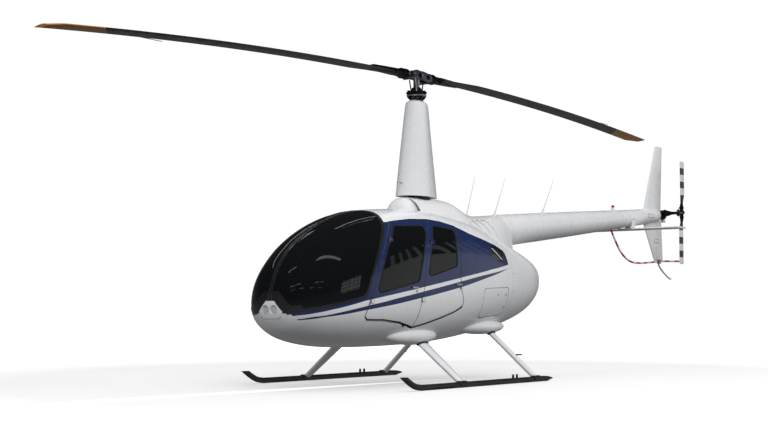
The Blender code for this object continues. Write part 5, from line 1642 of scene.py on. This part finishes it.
def build_gear():
    hull = join(hull_solid(0.004, HULL_ROWS[::2], 64), *blisters(-0.004))
    near_hull = join(hull_solid(-0.016, HULL_ROWS[::2], 64), *blisters(0.016))
    for name, (top_x, top_chord, foot_x, foot_chord, top_y, top_z) in STRUTS.items():
        foot_z = 2 * SKID_RADIUS - 0.012
        rings = []
        for t in np.linspace(0.0, 1.0, 9):
            x = top_x + (foot_x - top_x) * t
            y = top_y + (SKID_Y - 0.012 - top_y) * t
            z = top_z + (foot_z - top_z) * t
            chord = top_chord + (foot_chord - top_chord) * t
            rings.append([(x + 0.35 * chord - s, y + 0.72 * w, z + 0.69 * w)
                          for s, w in aerofoil(chord, 0.052, 20, 0.1)])
        strut = cut(loft(rings), hull, True)
        strut.data.materials.clear()
        strut.data.materials.append(FINISH["white"])
        wide = []
        for t in (0.0, 0.5):
            x = top_x + (foot_x - top_x) * t
            y = top_y + (SKID_Y - 0.012 - top_y) * t
            z = top_z + (foot_z - top_z) * t
            chord = top_chord + (foot_chord - top_chord) * t + 0.024
            wide.append([(x + 0.35 * chord - s, y + 0.72 * w, z + 0.69 * w)
                         for s, w in aerofoil(chord, 0.070, 20, 0.1)])
        collar = cut(within(loft(wide), near_hull, True), hull, True)
        collar.data.materials.clear()
        collar.data.materials.append(FINISH["rubber"])
        saddle = turned(((foot_x - 0.072, 0.034), (foot_x - 0.066, 0.0405), (foot_x + 0.066, 0.0405),
                         (foot_x + 0.072, 0.034)), (0.0, SKID_Y, SKID_RADIUS), "X", FINISH["satin"], 28)
        cut(saddle, box((foot_x - 0.5, foot_x + 0.5), (0.8, 1.4), (-0.1, SKID_RADIUS - 0.010)))
        parts = [strut, collar, saddle]
        for dx in (-0.045, 0.045):
            parts += bolt((foot_x + dx, SKID_Y + 0.026, SKID_RADIUS + 0.030), (0, 0.6, 0.8), 0.008, FINISH["steel"])
        whole = merged(parts)
        place(f"{name}_right_skin", mirrored(whole), "airframe", [f"{name}_right"])
        place(f"{name}_left_skin", whole, "airframe", [f"{name}_left"])
    bpy.data.objects.remove(hull)
    bpy.data.objects.remove(near_hull)


def build_skids():
    path = curve_through(((1.680, SKID_Y, 0.190), (1.600, SKID_Y, 0.135), (1.520, SKID_Y, 0.086),
                          (1.430, SKID_Y, 0.046), (1.330, SKID_Y, SKID_RADIUS)), 8)
    path = path + [(x, SKID_Y, SKID_RADIUS) for x in (0.9, 0.0, -0.9, -1.0, -1.06, -1.10)]
    scales = [1.0] * (len(path) - 3) + [0.8, 0.45, 0.15]
    tube = sweep(path, circle(SKID_RADIUS, 32), (0, 1, 0), FINISH["satin"], scales)
    cut(tube, box((1.3, 2.0), (0.9, 1.3), (SKID_TOE_Z, 0.4)))
    parts = [tube]
    for x0, x1 in ((1.18, 0.80), (-0.45, -0.62), (-0.90, -0.98)):
        shoe = turned(((x0, SKID_RADIUS + 0.0005), (x1, SKID_RADIUS + 0.0005)), (0, SKID_Y, SKID_RADIUS), "X",
                      FINISH["dark_steel"], 28)
        cut(shoe, box((-3, 3), (0.9, 1.3), (0.022, 0.5)))
        parts.append(shoe)
    for x in (-0.300, -0.375):
        parts.append(prism(((x - 0.014, 0.050), (x + 0.014, 0.050), (x + 0.010, 0.098), (x - 0.010, 0.098)),
                           SKID_Y - 0.006, SKID_Y + 0.006, "Y", FINISH["dark_steel"]))
        parts += bolt((x, SKID_Y + 0.006, 0.082), (0, 1, 0), 0.008, FINISH["steel"])
    whole = merged(parts)
    place("skid_right_tube", mirrored(whole), "airframe", ["skid_right"])
    place("skid_left_tube", whole, "airframe", ["skid_left"])


def build_aerials():
    tips = {"aerial_front": (-0.970, -1.140, 2.370), "aerial_middle": (-1.555, -1.780, 2.390),
            "aerial_rear": (-2.640, -2.910, 2.470)}
    for name, (base_x, tip_x, tip_z) in tips.items():
        foot_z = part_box(name)[0].z
        path = [(base_x + (tip_x - base_x) * t, 0.0, foot_z + 0.03 + (tip_z - foot_z - 0.03) * t)
                for t in np.linspace(0, 1, 12)]
        scales = [1.5 - 0.9 * t for t in np.linspace(0, 1, 12)]
        foot = turned(((foot_z + 0.001, 0.027), (foot_z + 0.012, 0.025), (foot_z + 0.022, 0.014),
                       (foot_z + 0.055, 0.008), (foot_z + 0.060, 0.0)), (base_x, 0, 0), "Z", FINISH["white"], 28)
        whip = sweep(path, circle(0.0045, 12), (0, 1, 0), FINISH["white_band"], scales)
        place(f"{name}_whip", [foot, whip], "airframe", [name])
    foot_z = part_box("beacon")[0].z
    base = turned(((foot_z + 0.001, 0.0255), (foot_z + 0.034, 0.0255), (foot_z + 0.040, 0.022)), (-4.440, 0, 0),
                  "Z", FINISH["white"], 28)
    lens = turned(((foot_z + 0.038, 0.0215), (foot_z + 0.060, 0.0205), (foot_z + 0.074, 0.013),
                   (foot_z + 0.0785, 0.0)), (-4.440, 0, 0), "Z", FINISH["red_lens"], 28)
    place("beacon_lamp", [base, lens], "airframe", ["beacon"])


def build_exhaust():
    x, y, z = -1.42, -0.16, 0.66
    radius = 0.105
    pipe = turned(((0.228, radius - 0.004), (0.228, radius), (-0.142, radius), (-0.148, radius + 0.0), (-0.150, radius),
                   (-0.150, radius - 0.005), (0.200, radius - 0.006), (0.200, 0.0)), (x, y, z), "Z",
                  FINISH["soot"], 48)
    place("exhaust_tube", pipe, "airframe", ["exhaust_pipe"])


def build_small_fittings():
    """Outside fittings that ride on the airframe: steps, drains and screws."""
    parts = []
    side_fit = screw_on_hull(1.057, 0.629, 0.016, FINISH["dark_steel"])
    parts += both_sides([side_fit, screw_on_hull(-0.607, 0.956, 0.010, FINISH["steel"])])
    for x in np.arange(1.75, 2.25, 0.07):
        z = float(np.interp(x, [1.697, 1.804, 1.959, 2.132, 2.275], [0.906, 0.882, 0.843, 0.804, 0.776])) + 0.014
        parts += both_sides([screw_on_hull(float(x), z, 0.004, FINISH["steel"])])
    step_y = 0.42 + (SKID_Y - 0.42) * 0.58
    step = box((-0.83, -0.75), (step_y - 0.012, step_y + 0.050), (0.283, 0.297), FINISH["satin"], 0.004)
    parts += both_sides([step])
    drain = rod((0.408, 0.42, 0.455), (0.400, 0.44, 0.385), 0.010, FINISH["white"])
    parts += both_sides([drain])
    place("outside_fittings", parts, "airframe", hull_lit=False)


# Main rotor

def blade_sections(side):
    rings = []
    stations = [0.40, 0.46, 0.54, 0.62, 0.78, 0.95, *np.linspace(1.1, 4.9, 24), 4.96, 5.00, ROTOR_RADIUS]
    for radius in stations:
        z = HUB_Z - BLADE_DROOP * (radius / ROTOR_RADIUS) ** 2
        root = min(1.0, max(0.0, (0.95 - radius) / 0.53))
        chord = BLADE_CHORD * (1 - 0.45 * root)
        swept = 0.10 * max(0.0, (radius - 4.9) / (ROTOR_RADIUS - 4.9))
        thickness = BLADE_THICKNESS * (1 + 0.8 * root)
        section = aerofoil(chord - swept, thickness, 20, 0.08)
        rings.append([(side * radius, side * (0.25 * chord - swept - s), z + t) for s, t in section])
    return rings


def build_blades():
    for name, side in (("fore", 1), ("aft", -1)):
        blade = loft(blade_sections(side), FINISH["blade"])
        straps = []
        for inner, outer, lift in ((0.40, 0.78, 0.006), (0.40, 0.66, 0.010)):
            for up in (1, -1):
                z = HUB_Z + up * (BLADE_THICKNESS * 0.9 + lift - 0.006)
                outline = ((side * inner, -0.050), (side * outer, -0.030), (side * outer, 0.020), (side * inner, 0.050))
                straps.append(prism(outline, z - 0.003, z + 0.003, "Z", FINISH["blade"]))
        bolts = []
        for x in (0.47, 0.53, 0.59):
            for up in (1, -1):
                bolts += bolt((side * x, 0.0, HUB_Z + up * 0.032), (0, 0, up), 0.009, FINISH["steel"])
        tab = prism(((side * 3.60, -side * 0.196), (side * 3.95, -side * 0.196), (side * 3.95, -side * 0.214),
                     (side * 3.60, -side * 0.214)), HUB_Z - 0.139, HUB_Z - 0.137, "Z", FINISH["blade"])
        place(f"main_blade_{name}_painted", [blade, *straps, *bolts, tab], "main_rotor", [f"main_blade_{name}"])


def build_hub():
    forged, dark, steel = FINISH["forged"], FINISH["dark_steel"], FINISH["steel"]
    yoke_side = ((-0.215, HUB_Z - 0.030), (-0.150, HUB_Z - 0.055), (-0.060, HUB_Z - 0.035), (0.060, HUB_Z - 0.035),
                 (0.150, HUB_Z - 0.055), (0.215, HUB_Z - 0.030), (0.215, HUB_Z + 0.020), (0.150, HUB_Z + 0.044),
                 (0.060, HUB_Z + 0.058), (-0.060, HUB_Z + 0.058), (-0.150, HUB_Z + 0.044), (-0.215, HUB_Z + 0.020))
    parts = []
    for side in (1, -1):
        parts.append(softened(prism(rounded(yoke_side, 0.02, 4), side * 0.038, side * 0.062, "Y", forged), 0.003, 2))
    parts.append(box((-0.065, 0.065), (-0.040, 0.040), (HUB_Z - 0.028, HUB_Z + 0.052), forged, 0.012))
    for x in (-0.175, 0.175):
        parts.append(box((x - 0.022, x + 0.022), (-0.040, 0.040), (HUB_Z + 0.006, HUB_Z + 0.030), forged, 0.006))
    for x, radius in ((0.0, 0.024), (-0.150, 0.019), (0.150, 0.019)):
        parts.append(rod((x, -0.078, HUB_Z + 0.002), (x, 0.078, HUB_Z + 0.002), radius, steel, 28))
        for side in (1, -1):
            parts.append(between((x, side * 0.062, HUB_Z + 0.002), (x, side * 0.082, HUB_Z + 0.002),
                                 ((0.0, radius + 0.010), (0.35, radius + 0.010), (0.5, radius + 0.002),
                                  (1.0, radius - 0.004)), dark, 24))
            parts += bolt((x, side * 0.080, HUB_Z + 0.002), (0, side, 0), radius * 0.72, steel)
    parts.append(turned(((3.02, 0.036), (HUB_Z - 0.02, 0.036)), (0, 0, 0), "Z", steel, 32))
    parts.append(turned(((HUB_Z + 0.050, 0.040), (HUB_Z + 0.062, 0.040), (HUB_Z + 0.066, 0.032),
                         (HUB_Z + 0.074, 0.026), (HUB_Z + 0.075, 0.0)), (0, 0, 0), "Z", dark, 32))
    for side in (1, -1):
        parts.append(turned([(side * h, r) for h, r in ((0.100, 0.030), (0.165, 0.034), (0.180, 0.056), (0.195, 0.060),
                                                        (0.235, 0.060), (0.248, 0.054), (0.262, 0.054), (0.275, 0.060),
                                                        (0.292, 0.060), (0.306, 0.050), (0.345, 0.046),
                                                        (0.430, 0.043))],
                            (0, 0, HUB_Z), "X", dark, 36))
        parts.append(softened(prism(((side * 0.185, side * 0.040), (side * 0.245, side * 0.040),
                                     (side * 0.240, side * 0.150), (side * 0.205, side * 0.165),
                                     (side * 0.182, side * 0.150)), HUB_Z - 0.055, HUB_Z - 0.022, "Z", forged),
                              0.006, 2))
        foot = Vector((side * 0.095, side * 0.075, 3.226))
        head = Vector((side * 0.213, side * 0.148, HUB_Z - 0.052))
        parts.append(between(foot, head, ((0.0, 0.008), (0.12, 0.011), (0.2, 0.007), (0.8, 0.007), (0.88, 0.011),
                                          (1.0, 0.008)), steel, 16))
        parts += bolt((side * 0.213, side * 0.148, HUB_Z - 0.024), (0, 0, 1), 0.010, steel)
        parts.append(rod((side * 0.060, side * -0.030, 3.235), (side * 0.070, side * -0.045, HUB_Z - 0.045), 0.007,
                         dark))
        parts.append(rod((side * 0.028, side * 0.050, 3.262), (side * 0.082, side * 0.058, 3.232), 0.009, dark))
    parts.append(turned(((3.206, 0.060), (3.206, 0.110), (3.212, 0.118), (3.222, 0.118), (3.228, 0.108),
                         (3.236, 0.092), (3.238, 0.060)), (0, 0, 0), "Z", dark, 48))
    parts.append(turned(((3.232, 0.070), (3.244, 0.074), (3.250, 0.060), (3.275, 0.052), (3.280, 0.038)), (0, 0, 0),
                        "Z", forged, 36))
    for k in range(4):
        a = math.pi / 4 + k * math.pi / 2
        parts.append(box((0.09 * math.cos(a) - 0.012, 0.09 * math.cos(a) + 0.012),
                         (0.09 * math.sin(a) - 0.012, 0.09 * math.sin(a) + 0.012), (3.226, 3.246), dark, 0.004))
    place("rotor_hub_dressed", parts, "main_rotor", ["rotor_hub"])


def build_swashplate():
    dark, steel, forged = FINISH["dark_steel"], FINISH["steel"], FINISH["forged"]
    parts = [
        turned(((3.1253, 0.066), (3.130, 0.070), (3.150, 0.066), (3.160, 0.070)), (0, 0, 0), "Z", forged, 40),
        turned(((3.176, 0.060), (3.176, 0.108), (3.181, 0.112), (3.192, 0.112), (3.198, 0.106), (3.200, 0.060)),
               (0, 0, 0), "Z", steel, 48),
        turned(((3.160, 0.050), (3.162, 0.098), (3.170, 0.102), (3.176, 0.098), (3.178, 0.050)), (0, 0, 0), "Z",
               dark, 48),
    ]
    for k in range(6):
        a = math.radians(20 + 60 * k)
        c, s = math.cos(a), math.sin(a)
        parts.append(between((0.052 * c, 0.052 * s, 3.130), (0.100 * c, 0.100 * s, 3.172),
                             ((0.0, 0.010), (0.2, 0.013), (0.8, 0.013), (1.0, 0.010)), dark, 14))
        parts += bolt((0.100 * c, 0.100 * s, 3.168), (c, s, 0.2), 0.010, steel)
    place("swashplate_dressed", parts, "airframe", ["swashplate_fixed"])


# Light, floor and camera

# Strip lights in the hall's ceiling, as two ends, half width and brightness. The ends are where
# the ceiling is met, one unit above the craft.
CEILING_STRIPS = (
    ((1.483, -0.224), (1.313, 0.108), 0.030, 1.6), ((1.255, 0.170), (1.188, 0.411), 0.030, 1.6),
    ((0.780, 1.086), (0.664, 1.217), 0.030, 1.4), ((0.608, 1.286), (0.523, 1.370), 0.030, 1.4),
    ((1.810, -0.079), (1.665, 0.207), 0.034, 1.3), ((1.538, 0.563), (1.426, 0.857), 0.034, 1.3),
    ((1.203, 1.246), (1.048, 1.469), 0.034, 1.2), ((0.976, 1.782), (0.848, 1.959), 0.034, 1.2),
    ((0.795, -0.481), (0.443, -0.088), 0.022, 1.8), ((0.201, 0.196), (0.000, 0.700), 0.030, 1.8),
    ((-0.368, -0.374), (-0.862, -0.458), 0.016, 1.8), ((-0.378, -0.250), (-0.703, -0.256), 0.034, 1.5),
    ((-0.170, -0.877), (-0.560, -0.896), 0.034, 1.6), ((0.300, -1.400), (-1.500, -1.550), 0.040, 1.2),
)


class Sky:
    """The nodes of the world, with short calls that add to them."""

    def __init__(self, tree):
        self.tree = tree

    def node(self, kind, values=None, **settings):
        made = self.tree.nodes.new(kind)
        for setting, value in settings.items():
            setattr(made, setting, value)
        for socket, value in (values or {}).items():
            if isinstance(value, bpy.types.NodeSocket):
                self.tree.links.new(value, made.inputs[socket])
            else:
                made.inputs[socket].default_value = value
        return made

    def math(self, operation, a, b=0.0, c=0.0):
        return self.node("ShaderNodeMath", {0: a, 1: b, 2: c}, operation=operation).outputs[0]

    def ramp(self, value, low, high, to_low, to_high):
        return self.node("ShaderNodeMapRange", {0: value, 1: low, 2: high, 3: to_low, 4: to_high}).outputs[0]

    def near(self, value, middle, reach):
        return self.math("COMPARE", value, middle, reach)

    def product(self, *values):
        whole = values[0]
        for value in values[1:]:
            whole = self.math("MULTIPLY", whole, value)
        return whole

    def dot(self, vector, along):
        return self.node("ShaderNodeVectorMath", {0: vector, 1: along}, operation="DOT_PRODUCT").outputs["Value"]

    def strip(self, ceiling, start, end, half_width, glow):
        start, end = Vector(start), Vector(end)
        along = (end - start).normalized()
        across = Vector((-along.y, along.x))
        middle = (start + end) / 2
        return self.product(
            self.near(self.dot(ceiling, (*along, 0.0)), middle.dot(along), (end - start).length / 2),
            self.near(self.dot(ceiling, (*across, 0.0)), middle.dot(across), half_width), glow)


def build_world():
    """Soft white light from above. What mirrors the world shows a dim hall with lights and windows."""
    world = bpy.data.worlds.new("studio")
    bpy.context.scene.world = world
    world.use_nodes = True
    world.node_tree.nodes.clear()
    sky = Sky(world.node_tree)
    direction = sky.node("ShaderNodeTexCoord").outputs["Generated"]
    split = sky.node("ShaderNodeSeparateXYZ", {0: direction})
    height = split.outputs[2]
    heading = sky.math("ARCTAN2", split.outputs[1], split.outputs[0])
    turned_down = sky.math("MAXIMUM", height, 0.02)
    ceiling = sky.node("ShaderNodeVectorMath", {0: direction, 1: sky.node(
        "ShaderNodeCombineXYZ", {0: turned_down, 1: turned_down, 2: turned_down}).outputs[0]},
        operation="DIVIDE").outputs[0]

    hall = sky.math("ADD", sky.ramp(height, 0.02, 0.30, 0.10, 0.022), sky.ramp(height, -0.30, 0.0, 0.10, 0.0))
    behind = sky.near(heading, math.radians(141.0), math.radians(24.0))
    haze = sky.product(behind, sky.ramp(height, -0.10, 0.0, 0.15, 0.42), sky.math("LESS_THAN", height, 0.275))
    columns = sky.product(behind, sky.near(height, 0.35, 0.075),
                          sky.math("LESS_THAN", sky.math("FRACT", sky.math("MULTIPLY", heading, 13.0)), 0.38), 0.34)
    window = sky.product(sky.near(heading, math.radians(97.8), math.radians(9.2)), sky.near(height, 0.255, 0.125),
                         sky.math("GREATER_THAN", sky.math("FRACT", sky.math("MULTIPLY", heading, 17.0)), 0.16),
                         sky.math("GREATER_THAN", sky.math("FRACT", sky.math("MULTIPLY", height, 14.0)), 0.16), 0.95)
    lights = [sky.strip(ceiling, *row) for row in CEILING_STRIPS]
    above = sky.math("GREATER_THAN", height, 0.2)
    total = hall
    for glow in (haze, columns, window, *(sky.math("MULTIPLY", light, above) for light in lights)):
        total = sky.math("ADD", total, glow)

    soft = sky.math("ADD", sky.ramp(height, -0.75, -0.05, 0.05, 0.30), sky.ramp(height, -0.05, 0.45, 0.0, 0.42))
    path = sky.node("ShaderNodeLightPath")
    seen = path.outputs["Is Camera Ray"]
    behind_glass = sky.math("MINIMUM", path.outputs["Transparent Depth"], 1.0)
    hall_share = sky.math("MAXIMUM", path.outputs["Is Glossy Ray"], sky.math("MULTIPLY", seen, behind_glass))
    open_air = sky.node("ShaderNodeMix", {0: seen, 2: soft, 3: 1.02}, data_type="FLOAT").outputs[0]
    grey = sky.node("ShaderNodeMix", {0: hall_share, 2: open_air, 3: total}, data_type="FLOAT").outputs[0]
    colour = sky.node("ShaderNodeCombineXYZ", {0: grey, 1: grey, 2: sky.math("MULTIPLY", grey, 1.015)})
    background = sky.node("ShaderNodeBackground", {0: colour.outputs[0], 1: 1.0})
    sky.node("ShaderNodeOutputWorld", {0: background.outputs[0]})


def add_light(name, place, target, size, power):
    """A soft light that lights the paint and isn't mirrored in it."""
    data = bpy.data.lights.new(name, "AREA")
    data.shape = "RECTANGLE"
    data.size, data.size_y = size
    data.energy = power
    lamp_object = bpy.data.objects.new(name, data)
    lamp_object.location = place
    aim = Vector(target) - Vector(place)
    lamp_object.rotation_euler = aim.to_track_quat("-Z", "Y").to_euler()
    lamp_object.visible_glossy = False
    bpy.context.scene.collection.objects.link(lamp_object)


def floor_paint():
    """A white floor that takes the craft's soft shadow and fades into the white background."""
    pale = Shader("floor_paint", (0.5, 0.5, 0.5), 0.9)
    pale.vary((0.50, 0.50, 0.50), (0.48, 0.48, 0.485), 0.4)
    away = pale.node("ShaderNodeVectorMath", {0: pale.place()}, operation="LENGTH").outputs["Value"]
    glow = pale.spread(away, 5.0, 11.0, FLOOR_GLOW, 1.1)
    pale.set("Emission Color", (1.0, 1.0, 1.0, 1.0))
    return pale.feed("Emission Strength", glow).material


def build_stage():
    floor = loft([[(40 * math.cos(a), 40 * math.sin(a), 0.0) for a in (2 * math.pi * i / 64 for i in range(64))],
                  [(0.0, 0.0, 0.0)]], closed=False)
    floor.name = "studio_floor"
    floor.data.materials.append(floor_paint())
    floor.visible_diffuse = False
    floor.visible_glossy = False
    for thing in [o for o in bpy.data.objects if o.name.startswith("shape")]:
        bpy.data.objects.remove(thing)
    add_light("key", (7.0, 9.0, 9.0), (0.6, 0.0, 1.0), (7.0, 7.0), 760)
    add_light("top", (0.0, 0.0, 11.0), (0.0, 0.0, 0.0), (14.0, 9.0), 330)
    add_light("far", (-8.0, 8.0, 6.0), (-3.0, 0.0, 2.0), (6.0, 4.0), 200)


def build_camera():
    data = bpy.data.cameras.new("photo_camera")
    data.sensor_width = 36.0
    data.lens = CAMERA_LENS
    data.clip_end = 200.0
    camera = bpy.data.objects.new("photo_camera", data)
    forward = Vector((math.cos(CAMERA_YAW) * math.cos(CAMERA_PITCH), math.sin(CAMERA_YAW) * math.cos(CAMERA_PITCH),
                      math.sin(CAMERA_PITCH)))
    camera.location = CAMERA_PLACE
    camera.rotation_euler = forward.to_track_quat("-Z", "Y").to_euler()
    bpy.context.scene.collection.objects.link(camera)
    bpy.context.scene.camera = camera
    bpy.context.scene.view_settings.view_transform = "Standard"


build_camera()
build_world()
build_cabin()
build_glazing()
build_doors()
build_lamps()
build_inside()
build_aft_cowl()
build_upper_cowl()
build_mast()
build_tailcone()
build_fins()
build_stabiliser()
build_guard()
build_tail_gearbox()
build_tail_rotor()
build_gear()
build_skids()
build_aerials()
build_exhaust()
build_small_fittings()
build_blades()
build_hub()
build_swashplate()
build_stage()
